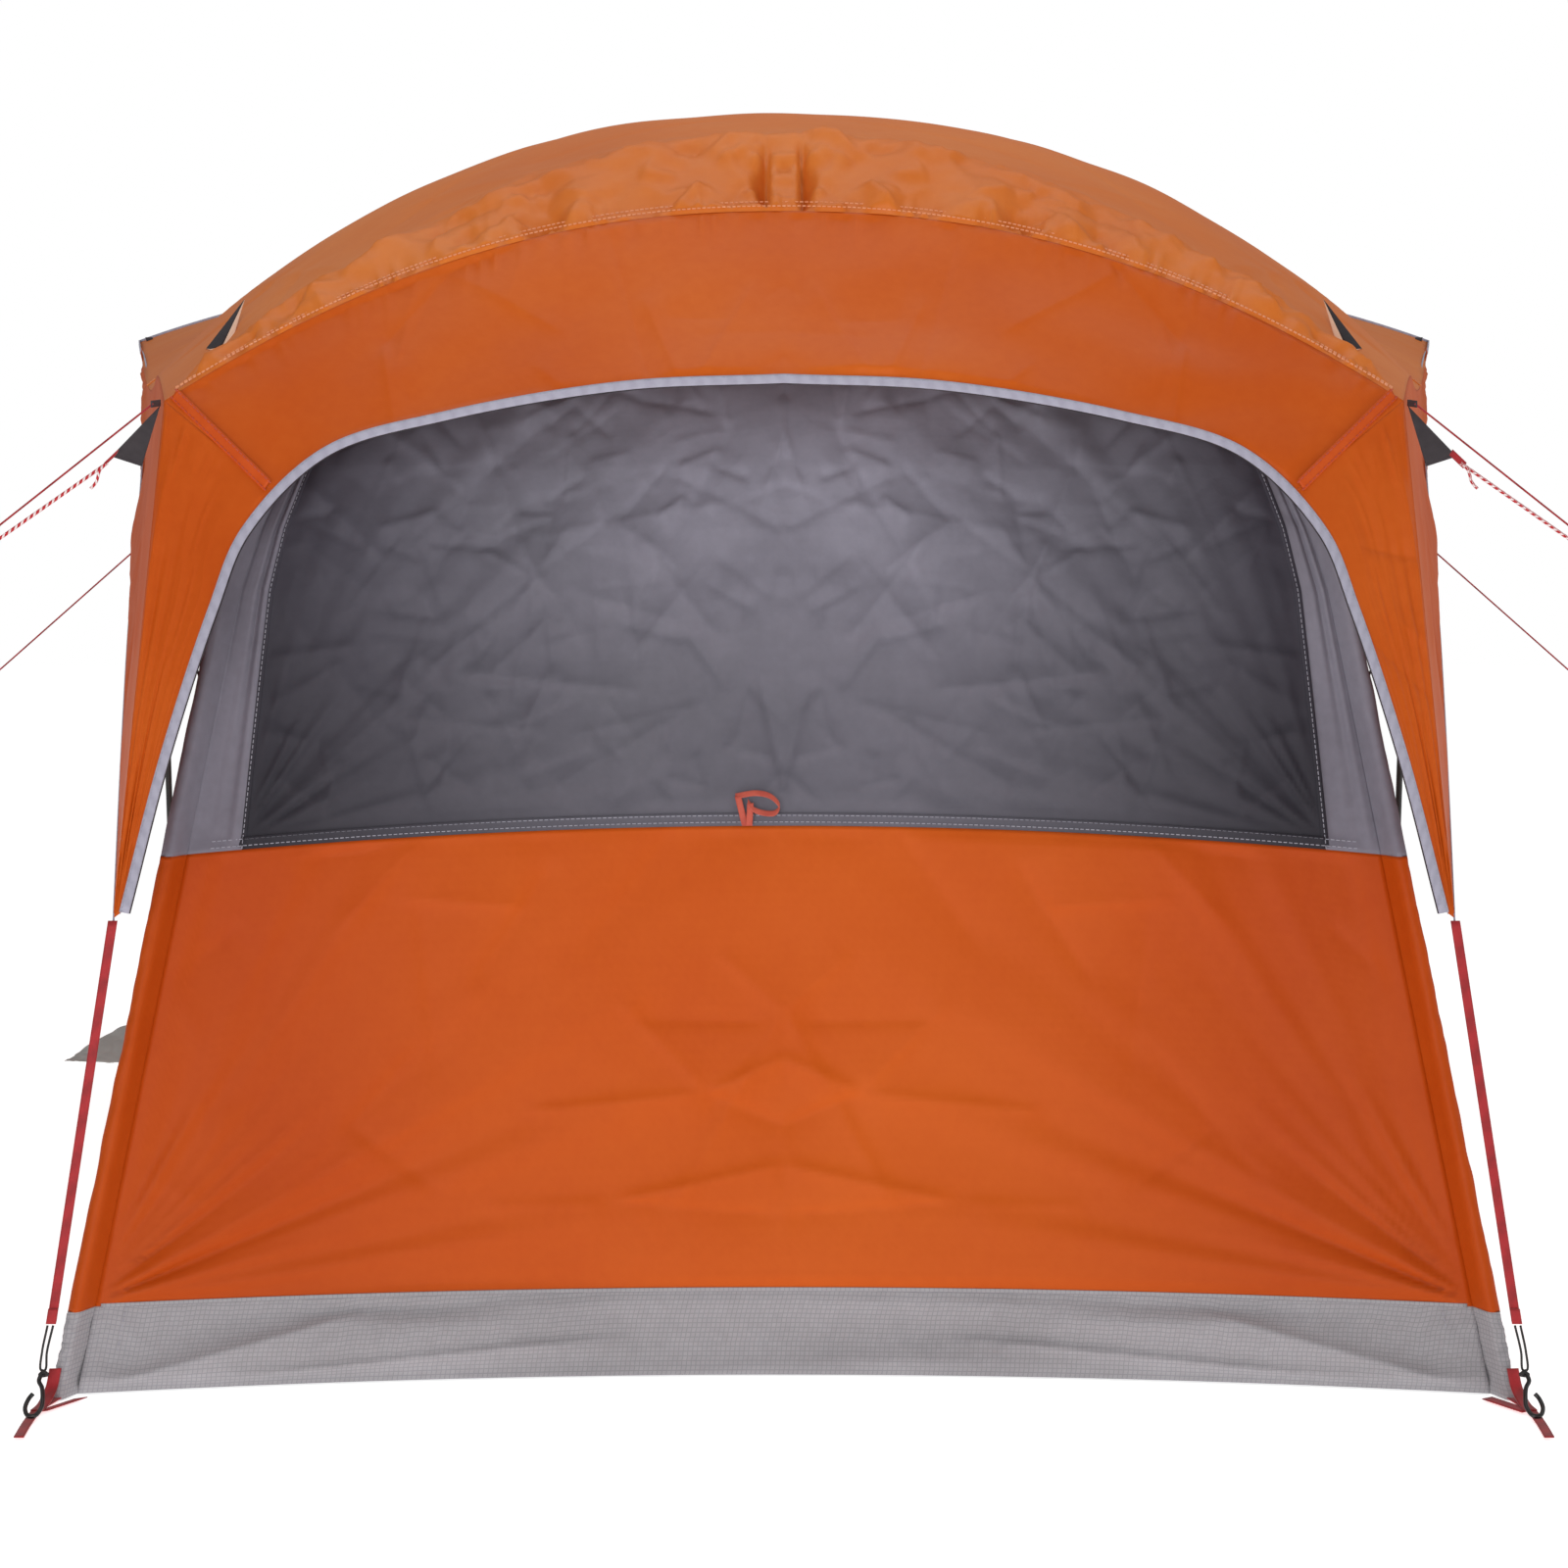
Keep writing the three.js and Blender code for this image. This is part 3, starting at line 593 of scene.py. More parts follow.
def legFolds(u, v, p):
    x, z = p[..., 0] + p[..., 1], p[..., 2]
    pull = valueNoise(v * 3.5, u * 1.6, 41) * 0.008 * (1 - u)
    fine = packed(x, z, 42, 34, 0.3, 0.005, 0.009)
    crinkle = ridged(u * 5, v * 12 + u * 3, 43) * 0.006 * np.exp(-v / 0.35)
    return (pull + fine + crinkle) * edgeFade(u, v, 0.05)


def wingFolds(u, v, p):
    pull = valueNoise(u * 9, v * 2.5, 51) * 0.010 + valueNoise(u * 26, v * 2, 52) * 0.003
    return (pull + crumple(p[..., 1], p[..., 2], 0.14, 53) * 0.0016) * edgeFade(u, v, 0.08)


def makeFly():
    cut = fly["awningStart"]
    makeCloth("crownCloth", lambda u, v: flyTop(2 * u - 1, v ** 1.5 * cut), 340, 142, crownFolds,
              finish["roof"], ["fly_crown"])
    makeCloth("awningCloth", lambda u, v: flyTop(2 * u - 1, lerp(cut, 1.0, v)), 180, 70, awningFolds,
              finish["roof"], ["fly_awning"])
    makeCloth("visorCloth", lambda u, v: visorAt(2 * u - 1, v), 480, 90, visorFolds, finish["front"],
              ["fly_visor"])
    for name, side in sides:
        makeCloth(f"legCloth_{name}", lambda u, v: legAt(side, u, v), 200, 70, legFolds, finish["front"],
                  [f"fly_leg_{name}"])
        makeCloth(f"wingCloth_{name}", lambda u, v: wingAt(side, u, v), 170, 50, wingFolds,
                  finish["front"], [f"fly_wing_{name}"])


makeFly()
print("fly made")


# Fabric body
def wallPanel(wall, s0, s1, z0, z1, rise0=0.0, rise1=0.0, top0=None, top1=None):
    top0, top1 = (s0 if top0 is None else top0), (s1 if top1 is None else top1)

    def at(u, v):
        s = lerp(lerp(s0, top0, v), lerp(s1, top1, v), u)
        hump = 4 * s * (1 - s)
        return wall(s, lerp(z0 + rise0 * hump, z1 + rise1 * hump, v))
    return at


diamondFolds = (
    ((0.117, 0.413), (-0.01, 0.470), 0.005), ((0.117, 0.413), (-0.01, 0.362), -0.005),
    ((0.263, 0.253), (-0.01, 0.310), 0.005), ((0.263, 0.253), (-0.01, 0.232), -0.004),
    ((0.394, 0.388), (0.117, 0.413), 0.004), ((0.0, 0.53), (0.10, 0.62), 0.003),
    ((0.45, 0.25), (0.27, 0.253), 0.003), ((0.117, 0.413), (0.25, 0.55), 0.003),
)


def lowerFolds(seed, strength=1.0):
    def folds(u, v, p):
        s = 2 * u - 1
        x, z = p[..., 0], p[..., 2]
        along = np.hypot((1 - np.abs(s)) * 1.0, v * 0.65)
        angle = np.arctan2(v * 0.65, (1 - np.abs(s)) * 1.0 + 0.02)
        rays = valueNoise(angle * 16, along * 1.5, seed) * 0.010 * np.exp(-along / 0.5)
        soft = valueNoise(u * 4 + v, v * 3, seed + 1) * 0.007
        half = x if abs(x.mean()) < 0.2 else p[..., 1]
        fine = packed(half, z, seed + 2, 22, 0.5, 0.004, 0.010)
        for start, end, depth in diamondFolds:
            fine = fine + foldLine(np.abs(half), z, start, end, depth, 0.008)
        return strength * (rays + soft + fine) * edgeFade(u, v, 0.03)
    return folds


def skirtFolds(seed):
    def folds(u, v, p):
        s = 2 * u - 1
        drift = v - 0.35 * (1 - s * s) * 2.0
        wave = np.sin(drift * 7.0 + valueNoise(u * 5, v, seed) * 2.2)
        wave = wave * 0.0060 * smooth(1 - np.abs(s), 0.0, 0.4)
        fine = crumple(u * 2.0, v * 0.13, 0.07, seed + 1) * 0.0010
        corner = crumple(u * 2.0, v * 0.13, 0.03, seed + 2) * 0.0018 * smooth(np.abs(s), 0.9, 0.98)
        across = np.abs(s)
        drawn = foldLine(across, v, (1.0, 0.02), (0.60, 0.85), 0.020, 0.06)
        drawn = drawn + foldLine(across, v, (0.95, 0.0), (0.25, 0.45), 0.014, 0.06)
        return (wave + fine + corner + drawn) * smooth(np.minimum(v, 1 - v), 0.0, 0.2)
    return folds


def windowFolds(u, v, p):
    x, z = p[..., 0], p[..., 2]
    s = 2 * u - 1
    fan = valueNoise(np.arctan2(v, 1.02 - np.abs(s)) * 14, np.hypot(1 - np.abs(s), v) * 2, 61) * 0.006
    hang = valueNoise(u * 26, v * 1.6, 62) * 0.004 * (1 - 0.5 * v)
    creases = packed(x, z, 63, 130, 0.36, 0.0085, 0.008) + packed(x, z, 66, 170, 0.13, 0.007, 0.006)
    return (fan + hang + creases) * edgeFade(u, v, 0.02) * smooth(v, 0.022, 0.07)


def paleFolds(seed):
    def folds(u, v, p):
        x, y, z = p[..., 0], p[..., 1], p[..., 2]
        return (valueNoise(u * 6, v * 2, seed) * 0.005
                + packed(x + y, z, seed + 1, 30, 0.3, 0.005, 0.010)) * edgeFade(u, v, 0.03)
    return folds


def farStrip(x0, x1, z0, z1):
    def at(u, v):
        z = lerp(z0, z1, v)
        edge = onPole(1, 1, z, tentPlan["bodyInset"])
        limit = edge[..., 0] * 0.999
        x = lerp(np.clip(x0, -limit, limit), np.clip(x1, -limit, limit), u)
        return points(x, edge[..., 1], edge[..., 2])
    return at


def makeBody():
    w0, w1 = body["windowInset"], 1 - body["windowInset"]
    t0, t1 = body["windowInsetTop"], 1 - body["windowInsetTop"]
    skirt, hem, top, rise = body["skirtZ"], body["hemZ"], body["wallTopZ"], body["hemRise"]
    near = nearWall
    makeCloth("nearSkirtCloth", wallPanel(near, 0, 1, body["footZ"], skirt), 320, 36, skirtFolds(71),
              finish["skirt"], ["skirt_near"])
    makeCloth("nearLowerCloth", wallPanel(near, 0, 1, skirt, hem, 0, rise), 240, 110, lowerFolds(73),
              finish["wall"], ["near_lower_wall"])
    makeCloth("windowCloth", wallPanel(near, w0, w1, hem, top, rise, 0, t0, t1), 320, 152,
              windowFolds, finish["window"], ["near_window"])
    for name, s0, s1, high0, high1 in (("left", 0, w0, 0, t0), ("right", w1, 1, t1, 1)):
        makeCloth(f"nearSideCloth_{name}", wallPanel(near, s0, s1, hem, top, rise, 0, high0, high1), 24, 140,
                  paleFolds(75), finish["pale"], [f"near_side_panel_{name}"])
    for name, side in sides:
        wall = sideWall(side)
        makeCloth(f"sideSkirtCloth_{name}", wallPanel(wall, 0, 1, body["footZ"], skirt), 160, 16,
                  skirtFolds(81 + side), finish["skirt"], [f"skirt_{name}"])
        makeCloth(f"sideLowerCloth_{name}", wallPanel(wall, 0, 1, skirt, hem), 160, 70,
                  lowerFolds(84 + side), finish["wall"], [f"{name}_lower_wall"])
        makeCloth(f"sideUpperCloth_{name}", wallPanel(wall, 0, 1, hem, top), 160, 90,
                  paleFolds(87 + side), finish["pale"], [f"{name}_upper_wall"])
    makeCloth("farSkirtCloth", wallPanel(farWall, 0, 1, body["footZ"], skirt), 160, 16, skirtFolds(91),
              finish["skirt"], ["skirt_far"])
    half, jamb, doorTop = body["doorHalf"], body["doorHalf"] + 0.003, body["doorTopZ"]
    wide = 2.0
    makeCloth("farFlankCloth_left", farStrip(-wide, -jamb, skirt, doorTop), 60, 90, lowerFolds(93, 0.5),
              finish["wall"], ["far_wall_left"])
    makeCloth("farFlankCloth_right", farStrip(jamb, wide, skirt, doorTop), 60, 90, lowerFolds(94, 0.5),
              finish["wall"], ["far_wall_right"])
    makeCloth("farLintelCloth", farStrip(-wide, wide, doorTop + 0.006, top), 120, 12, paleFolds(95),
              finish["pale"], ["far_wall_lintel"])
    makeCloth("doorCloth", farStrip(-half + 0.003, half - 0.003, body["doorBottomZ"], doorTop - 0.004), 70,
              110, lowerFolds(96, 0.5), finish["wall"], ["door_panel"], rider="door")


def makeDoorEdges():
    # black zip tape on both sides of the door opening, and the sill cloth under it
    half, low, high = body["doorHalf"], body["doorBottomZ"], body["doorTopZ"]
    outward = np.array([0.0, 0.0026, 0.0])
    z = np.linspace(low, high - 0.008, 81)
    for name, side in sides:
        for key, x, rider in (("Door", half - 0.008, "door"), ("Flank", half + 0.009, "tent")):
            edge = onPole(1, 1, z, tentPlan["bodyInset"])
            route = points(np.full(81, side * x), edge[:, 1], edge[:, 2]) + outward
            makeTape(f"zip{key}_{name}", route, (1.0, 0.0, 0.0), *tapeSizes["zip"], finish["elastic"],
                     "lower_wall", [], samples=80, rider=rider)
    makeCloth("doorSillCloth", farStrip(-half - 0.003, half + 0.003, body["skirtZ"], low - 0.003), 40, 4,
              None, finish["wall"], [], declare=False)
    top = onPole(1, 1, np.array([high - 0.010]), tentPlan["bodyInset"])[0]
    x = np.linspace(-half + 0.004, half - 0.004, 61)
    head = points(x, np.full(61, top[1]), np.full(61, top[2])) + outward
    makeTape("zipHead", head, (0.0, 0.0, 1.0), *tapeSizes["zip"], finish["elastic"],
             "lower_wall", [], samples=60, rider="door")


def innerRoof(u, v):
    x, y = 2 * u - 1, 2 * v - 1
    r = np.maximum(np.maximum(np.abs(x), np.abs(y)), 1e-6)
    p = tentPlan
    low = (body["wallTopZ"] + 0.002 - p["kneeZ"]) / (p["crownZ"] - p["kneeZ"])
    z = p["kneeZ"] + (1 - (1 - low) * r ** p["archPower"]) * (p["crownZ"] - p["kneeZ"])
    corners = ((-1, 0), (1, 0), (1, 1), (-1, 1))
    nl, nr, fr, fl = [onPole(side, end, z, p["bodyInset"]) for side, end in corners]
    across, along = ((x / r + 1) / 2)[..., None], ((y / r + 1) / 2)[..., None]
    nearFar = np.where(y[..., None] < 0, lerp(nl, nr, across), lerp(fl, fr, across))
    leftRight = np.where(x[..., None] < 0, lerp(nl, fl, along), lerp(nr, fr, along))
    return np.where((np.abs(y) >= np.abs(x))[..., None], nearFar, leftRight)


groundsheet = {"z": 0.0011, "gap": 0.002, "share": 0.997, "drawnIn": 0.042, "midHalf": 1.3}


def floorAt(u, v):
    # groundsheet cut to the foot of each wall and drawn in where the side walls bow
    low, gap = np.zeros_like(v), groundsheet["gap"]
    p = lerp(nearWall(u, low), farWall(farShare(u), low), (gap + (1 - 2 * gap) * v)[..., None])
    drawn = 1 - groundsheet["drawnIn"] * 4 * v * (1 - v) / groundsheet["midHalf"]
    return points(p[..., 0] * drawn * groundsheet["share"], p[..., 1], low + groundsheet["z"])


def farShare(u):
    # the far wall's share that lies opposite share u of the near wall
    first = farWall(np.array([0.0]), np.array([0.0]))[0][0]
    return 1 - u if first > 0 else u


makeBody()
makeCloth("floorCloth", floorAt, 60, 60, None, finish["floor"], ["floor"])
makeCloth("innerRoofCloth", innerRoof, 80, 80, None, finish["pale"], ["inner_roof"])
print("body made")


# Tapes, straps and stitches
def routeLine(route, samples):
    # a smooth curve through three or more points, or a straight run between two
    t = np.linspace(0, 1, samples + 1)
    if len(route) > 2:
        return curveThrough(route, t)
    return lerp(np.array(route[0]), np.array(route[1]), t[:, None])


def makeTape(name, route, across, width, thickness, material, slot, replaced, samples=60, rider="tent"):
    # flat tape along a route, with rounded edges
    line = routeLine(route, samples)
    across = np.asarray(across, float)
    across = across if across.ndim == 2 else np.repeat(across[None], len(line), axis=0)
    shares = np.linspace(-0.5, 0.5, 5)
    p = line[None] + across[None] * width * shares[:, None, None]
    obj = gridMesh(name, p, material)
    thicken(obj, thickness)
    return carry(obj, replaced, rider)


def stitchTree():
    # short thread bars along a line of edges
    tree = bpy.data.node_groups.new("stitchRow", "GeometryNodeTree")
    face = tree.interface
    face.new_socket("Geometry", in_out="INPUT", socket_type="NodeSocketGeometry")
    face.new_socket("Spacing", in_out="INPUT", socket_type="NodeSocketFloat")
    face.new_socket("Bar Length", in_out="INPUT", socket_type="NodeSocketFloat")
    face.new_socket("Bar Width", in_out="INPUT", socket_type="NodeSocketFloat")
    face.new_socket("Thread", in_out="INPUT", socket_type="NodeSocketMaterial")
    face.new_socket("Geometry", in_out="OUTPUT", socket_type="NodeSocketGeometry")
    given = addNode(tree, "NodeGroupInput").outputs
    line = addNode(tree, "GeometryNodeMeshToCurve", links={"Mesh": given["Geometry"]})
    spaced = addNode(tree, "GeometryNodeResampleCurve", {"mode": "LENGTH"},
                     {"Curve": line.outputs[0], "Length": given["Spacing"]})
    size = addNode(tree, "ShaderNodeCombineXYZ",
                   links={"X": given["Bar Width"], "Y": given["Bar Width"], "Z": given["Bar Length"]})
    bar = addNode(tree, "GeometryNodeMeshCube", links={"Size": size.outputs[0]})
    tangent = addNode(tree, "GeometryNodeInputTangent")
    turn = addNode(tree, "FunctionNodeAlignEulerToVector", {"axis": "Z"}, {"Vector": tangent.outputs[0]})
    placed = addNode(tree, "GeometryNodeInstanceOnPoints", links={
        "Points": spaced.outputs[0], "Instance": bar.outputs["Mesh"], "Rotation": turn.outputs[0]})
    real = addNode(tree, "GeometryNodeRealizeInstances", links={"Geometry": placed.outputs[0]})
    painted = addNode(tree, "GeometryNodeSetMaterial",
                      links={"Geometry": real.outputs[0], "Material": given["Thread"]})
    addNode(tree, "NodeGroupOutput", links={"Geometry": painted.outputs[0]})
    return tree


stitchNodes = stitchTree()


def makeStitches(name, lines, thread, spacing=0.008, length=0.0052, width=0.0011, rider="tent"):
    # rows of stitches along the given lines of points, made plain
    mesh = bpy.data.meshes.new(name + "Lines")
    verts, edges = [], []
    for line in lines:
        start = len(verts)
        verts += [tuple(q) for q in line]
        edges += [(start + k, start + k + 1) for k in range(len(line) - 1)]
    mesh.from_pydata(verts, edges, [])
    holder = bpy.data.objects.new(name + "Lines", mesh)
    bpy.context.collection.objects.link(holder)
    modifier = holder.modifiers.new("stitches", "NODES")
    modifier.node_group = stitchNodes
    values = {"Spacing": spacing, "Bar Length": length, "Bar Width": width, "Thread": thread}
    for item in stitchNodes.interface.items_tree:
        if item.in_out == "INPUT" and item.name in values:
            modifier[item.identifier] = values[item.name]
    graph = bpy.context.evaluated_depsgraph_get()
    plain = bpy.data.meshes.new_from_object(holder.evaluated_get(graph))
    bpy.data.objects.remove(holder)
    if not plain.materials:
        plain.materials.append(thread)
    obj = bpy.data.objects.new(name, plain)
    bpy.context.collection.objects.link(obj)
    return carry(obj, (), rider)


def placed(route, side):
    return [np.array([x * side, y - midY, z]) for x, y, z in route]


# Widths and thicknesses of the tapes over the seams, in metres
tapeSizes = {
    "arch": (0.0140, 0.0032), "archUnder": (0.0035, 0.0022), "wing": (0.011, 0.003), "eave": (0.012, 0.003),
    "awningSeam": (0.018, 0.0022), "uprightTab": (0.018, 0.002), "awningRim": (0.012, 0.003),
    "hem": (0.019, 0.0018), "skirtSeam": (0.006, 0.0022), "windowSeam": (0.010, 0.0016),
    "shoulder": (0.019, 0.0018), "zip": (0.011, 0.0016),
}
uprightTabRoute = ((1.576, 3.163, 1.797), (1.566, 3.156, 1.768), (1.5602, 3.1502, 1.7425))


def makeSeams():
    a = np.linspace(-1, 1, 241)
    edge = archEdge(a)
    along = np.gradient(edge, axis=0)
    along /= np.linalg.norm(along, axis=-1, keepdims=True)
    across = np.cross(along, np.array([0.0, -1.0, 0.0]))
    across /= np.linalg.norm(across, axis=-1, keepdims=True)
    towards = np.sum(across * (np.array([0, -1.4, 0.9]) - edge), axis=-1, keepdims=True)
    inward = np.where(towards > 0, across, -across)
    tape = edge + inward * 0.004 + np.array([0, -0.0015, 0])
    makeTape("archBindingTape", tape, curveAcross(inward, 240), *tapeSizes["arch"], finish["binding"],
             "binding", ["arch_binding"], samples=240)
    makeTape("archBindingUnderside", edge + inward * 0.0108 + np.array([0, 0.0012, 0]),
             curveAcross(inward, 240), *tapeSizes["archUnder"], finish["tab"], "binding", [], samples=240)
    makeStitches("archStitches", [edge - inward * 0.0005 + np.array([0, -0.0038, 0])],
                 finish["greyThread"])
    for name, side in sides:
        t = np.linspace(0, 1, 160)
        lower = mirrored(curveThrough(wingRoute, t), side)
        sideways = np.repeat(np.array([[0.0, 0.25, 0.97]]), len(lower), axis=0)
        makeTape(f"wingBindingTape_{name}", lower, curveAcross(sideways, 159), *tapeSizes["wing"],
                 finish["binding"], "binding", [], samples=159)
        eaveTip = flyTop(np.full(40, side * 1.0), np.linspace(0.93, 1.0, 40))
        makeTape(f"eaveTape_{name}", eaveTip, (0.0, 0.0, 1.0), *tapeSizes["eave"], finish["binding"],
                 "binding", [], samples=39)
    joint = flyTop(np.linspace(-1, 1, 241), np.full(241, fly["awningStart"])) + np.array([0, 0, 0.0012])
    makeTape("awningSeamTape", joint, (0.0, 0.97, 0.23), *tapeSizes["awningSeam"], finish["roof"],
             "fly_roof", [], samples=240)
    rows = [joint + np.array([0, off, 0.0026]) for off in (-0.004, 0.004)]
    makeStitches("awningSeamStitches", rows, finish["thread"])
    for name, side in sides:
        tab = placed(uprightTabRoute, side)
        makeTape(f"uprightTab_{name}", tab, (1.0, 0.0, 0.0), *tapeSizes["uprightTab"], finish["tab"],
                 "tab", [], samples=12)
    rim = archOf(fly["eave"], np.linspace(-1, 1, 160))
    makeTape("awningRimTape", rim, (0.0, 0.0, 1.0), *tapeSizes["awningRim"], finish["binding"],
             "binding", [], samples=159)
    rows = [flyTop(np.linspace(-0.98, 0.98, 300), np.full(300, share)) for share in (0.0015, 0.0075)]
    rows = [row + np.array([0, -0.007, 0.006]) for row in rows]
    makeStitches("browStitches", rows, finish["thread"], width=0.0018)
    hem, rise = body["hemZ"], body["hemRise"]
    hemRows = []
    for off in (0.006, 0.016):
        s = np.linspace(0.02, 0.98, 240)
        hemRows.append(nearWall(s, hem + off + rise * 4 * s * (1 - s)) + np.array([0, -0.0022, 0]))
    makeStitches("hemStitches", hemRows, finish["greyThread"])
    s = np.linspace(body["windowInset"], 1 - body["windowInset"], 241)
    band = nearWall(s, hem + 0.010 + rise * 4 * s * (1 - s)) + np.array([0, -0.0012, 0])
    makeTape("hemBand", band, (0.0, 0.05, 0.99), *tapeSizes["hem"], finish["window"], "window", [],
             samples=240)
    s = np.linspace(0.004, 0.996, 241)
    seam = nearWall(s, np.full(241, body["skirtZ"] + 0.001)) + np.array([0, -0.0008, 0])
    makeTape("skirtSeamTape", seam, (0.0, 0.05, 0.99), *tapeSizes["skirtSeam"], finish["skirt"],
             "skirt", [], samples=240)
    corners = []
    for side in (-1, 1):
        z = np.linspace(0.012, body["skirtZ"] - 0.004, 24)
        corners.append(nearWall(np.full(24, 0.5 + side * 0.478), z) + np.array([0, -0.003, 0]))
    makeStitches("skirtCornerStitches", corners, finish["greyThread"])
    z = np.linspace(hem + 0.01, body["wallTopZ"], 160)
    inset = lerp(body["windowInset"], body["windowInsetTop"], np.linspace(0, 1, 160))
    seams = [nearWall(s, z) + np.array([0, -0.0022, 0]) for s in (inset, 1 - inset)]
    makeStitches("windowSideStitches", seams, finish["greyThread"])
    for name, seam in (("left", seams[0]), ("right", seams[1])):
        makeTape(f"windowSeamTape_{name}", seam + np.array([0, 0.0012, 0]), (1.0, 0.0, 0.0),
                 *tapeSizes["windowSeam"], finish["window"], "window", [], samples=159)
    diagonal = []
    for name, side in sides:
        start, end = brow(np.array([side * 0.985]))[0], archEdge(np.array([side * fly["visorShare"]]))[0]
        across = np.array([-side * 0.55, 0.0, 0.83])
        t = np.linspace(0.0, 0.94, 60)[:, None]
        middle = lerp(start, end, t) + np.array([0, -0.0062, 0.0])
        makeTape(f"shoulderSeam_{name}", middle, across, *tapeSizes["shoulder"], finish["seam"],
                 "fly_front", [], samples=59)
        for off in (-0.0065, 0.0065):
            diagonal.append(middle + across * off + np.array([0, -0.0016, 0]))
    makeStitches("shoulderStitches", diagonal, finish["redThread"], width=0.0016)


ventPlan = {"upper": (0.862, 0.145), "lower": (0.928, 0.052), "width": 0.017,
            "flap": 0.013, "lift": 0.022, "thickness": 0.0016}


def makeVents():
    # a lens-shaped dark cloth at each shoulder, laid where the vent opens: painted shade standing for the
    # shaded opening, with a pale flap beside it
    t = np.linspace(0, 1, 41)
    lens = np.clip(t / 0.8, 0, 1) * np.clip((1 - t) / 0.16, 0, 1) ** 0.6
    for name, side in sides:
        line = flyTop(side * lerp(ventPlan["upper"][0], ventPlan["lower"][0], t),
                      lerp(ventPlan["upper"][1], ventPlan["lower"][1], t))
        out = np.array([side * 0.25, -0.75, 0.6]) * ventPlan["lift"]
        inwards = np.array([-side * 0.55, 0.0, -0.30])
        inwards /= np.linalg.norm(inwards)
        for piece, key, start, width in (("OpeningShade", "vent", 0.0, ventPlan["width"]),
                                         ("Flap", "lining", ventPlan["width"], ventPlan["flap"])):
            low = line + out + inwards * (start * lens)[:, None]
            wide = inwards * (width * lens)[:, None]
            p = low[None] + wide[None] * np.linspace(0, 1, 5)[:, None, None]
            obj = gridMesh(f"vent{piece}_{name}", p, finish[key])
            thicken(obj, ventPlan["thickness"], -1.0)
            carry(obj)


def curveAcross(across, samples):
    # across directions resampled to samples + 1 places
    place = np.linspace(0, len(across) - 1, samples + 1)
    k = np.minimum(place.astype(int), len(across) - 2)
    return lerp(across[k], across[k + 1], (place - k)[:, None])


makeSeams()
makeVents()
makeDoorEdges()
print("seams and stitches made")

# Pole sleeves
sleeve = {"round": 0.0105, "wrinkle": 0.0014, "limit": 0.003, "thickness": 0.001, "topZ": 1.62}
sleeveParts = (("skirt", body["footZ"], body["skirtZ"], "skirt", "skirt"),
               ("low", body["skirtZ"], body["hemZ"], "wall", "lower_wall"),
               ("high", body["hemZ"], sleeve["topZ"], "pale", "sleeve"))


def sleeveAt(side, end, z0, z1):
    # a drop-shaped tunnel: round the pole outside, pinched to the corner seam inside
    def at(u, v):
        z = lerp(z0, z1, v)
        centre = onPole(side, end, z)
        inwards = (onPole(side, end, z, tentPlan["bodyInset"]) - centre)
        deep = np.linalg.norm(inwards, axis=-1, keepdims=True)
        inwards = inwards / deep
        level = np.cross(inwards, (0.0, 0.0, 1.0))
        level /= np.linalg.norm(level, axis=-1, keepdims=True)
        cos, sin = np.cos(u * 2 * math.pi)[..., None], np.sin(u * 2 * math.pi)[..., None]
        out = np.where(cos < 0, cos * sleeve["round"], cos * deep)
        wide = sleeve["round"] * sin * np.where(cos < 0, 1.0, 1.0 - 0.85 * cos)
        return centre + inwards * out + level * wide
    return at


def sleeveFolds(seed):
    def folds(u, v, p):
        ruck = valueNoise(u * 6, v * 14, seed) + 0.5 * ridged(u * 4, v * 24, seed + 1)
        return sleeve["wrinkle"] * ruck * np.sin(math.pi * u) ** 2
    return folds


def makeSleeves():
    # the cloth tunnel round each corner pole, in the colours of the walls beside it
    for endName, end in (("near", 0), ("far", 1)):
        for name, side in sides:
            for part, z0, z1, key, slot in sleeveParts:
                replaced = [f"corner_sleeve_{endName}_{name}"] if part == "high" else []
                makeSleeve(f"sleeve_{endName}_{name}_{part}", sleeveAt(side, end, z0, z1),
                           sleeveFolds(101 + end), finish[key], replaced)


def makeSleeve(name, at, folds, material, replaced):
    u, v = np.meshgrid(np.linspace(0, 1, 25), np.linspace(0, 1, 121))
    p = at(u, v)
    n = np.cross(np.gradient(p, axis=1), np.gradient(p, axis=0))
    n /= np.maximum(np.linalg.norm(n, axis=-1, keepdims=True), 1e-9)
    p = p + n * np.minimum(folds(u, v, p), sleeve["limit"])[..., None]
    p[:, -1] = p[:, 0]
    obj = gridMesh(name, p, material)
    thicken(obj, sleeve["thickness"])
    return carry(obj, replaced)


makeSleeves()
print("sleeves made")


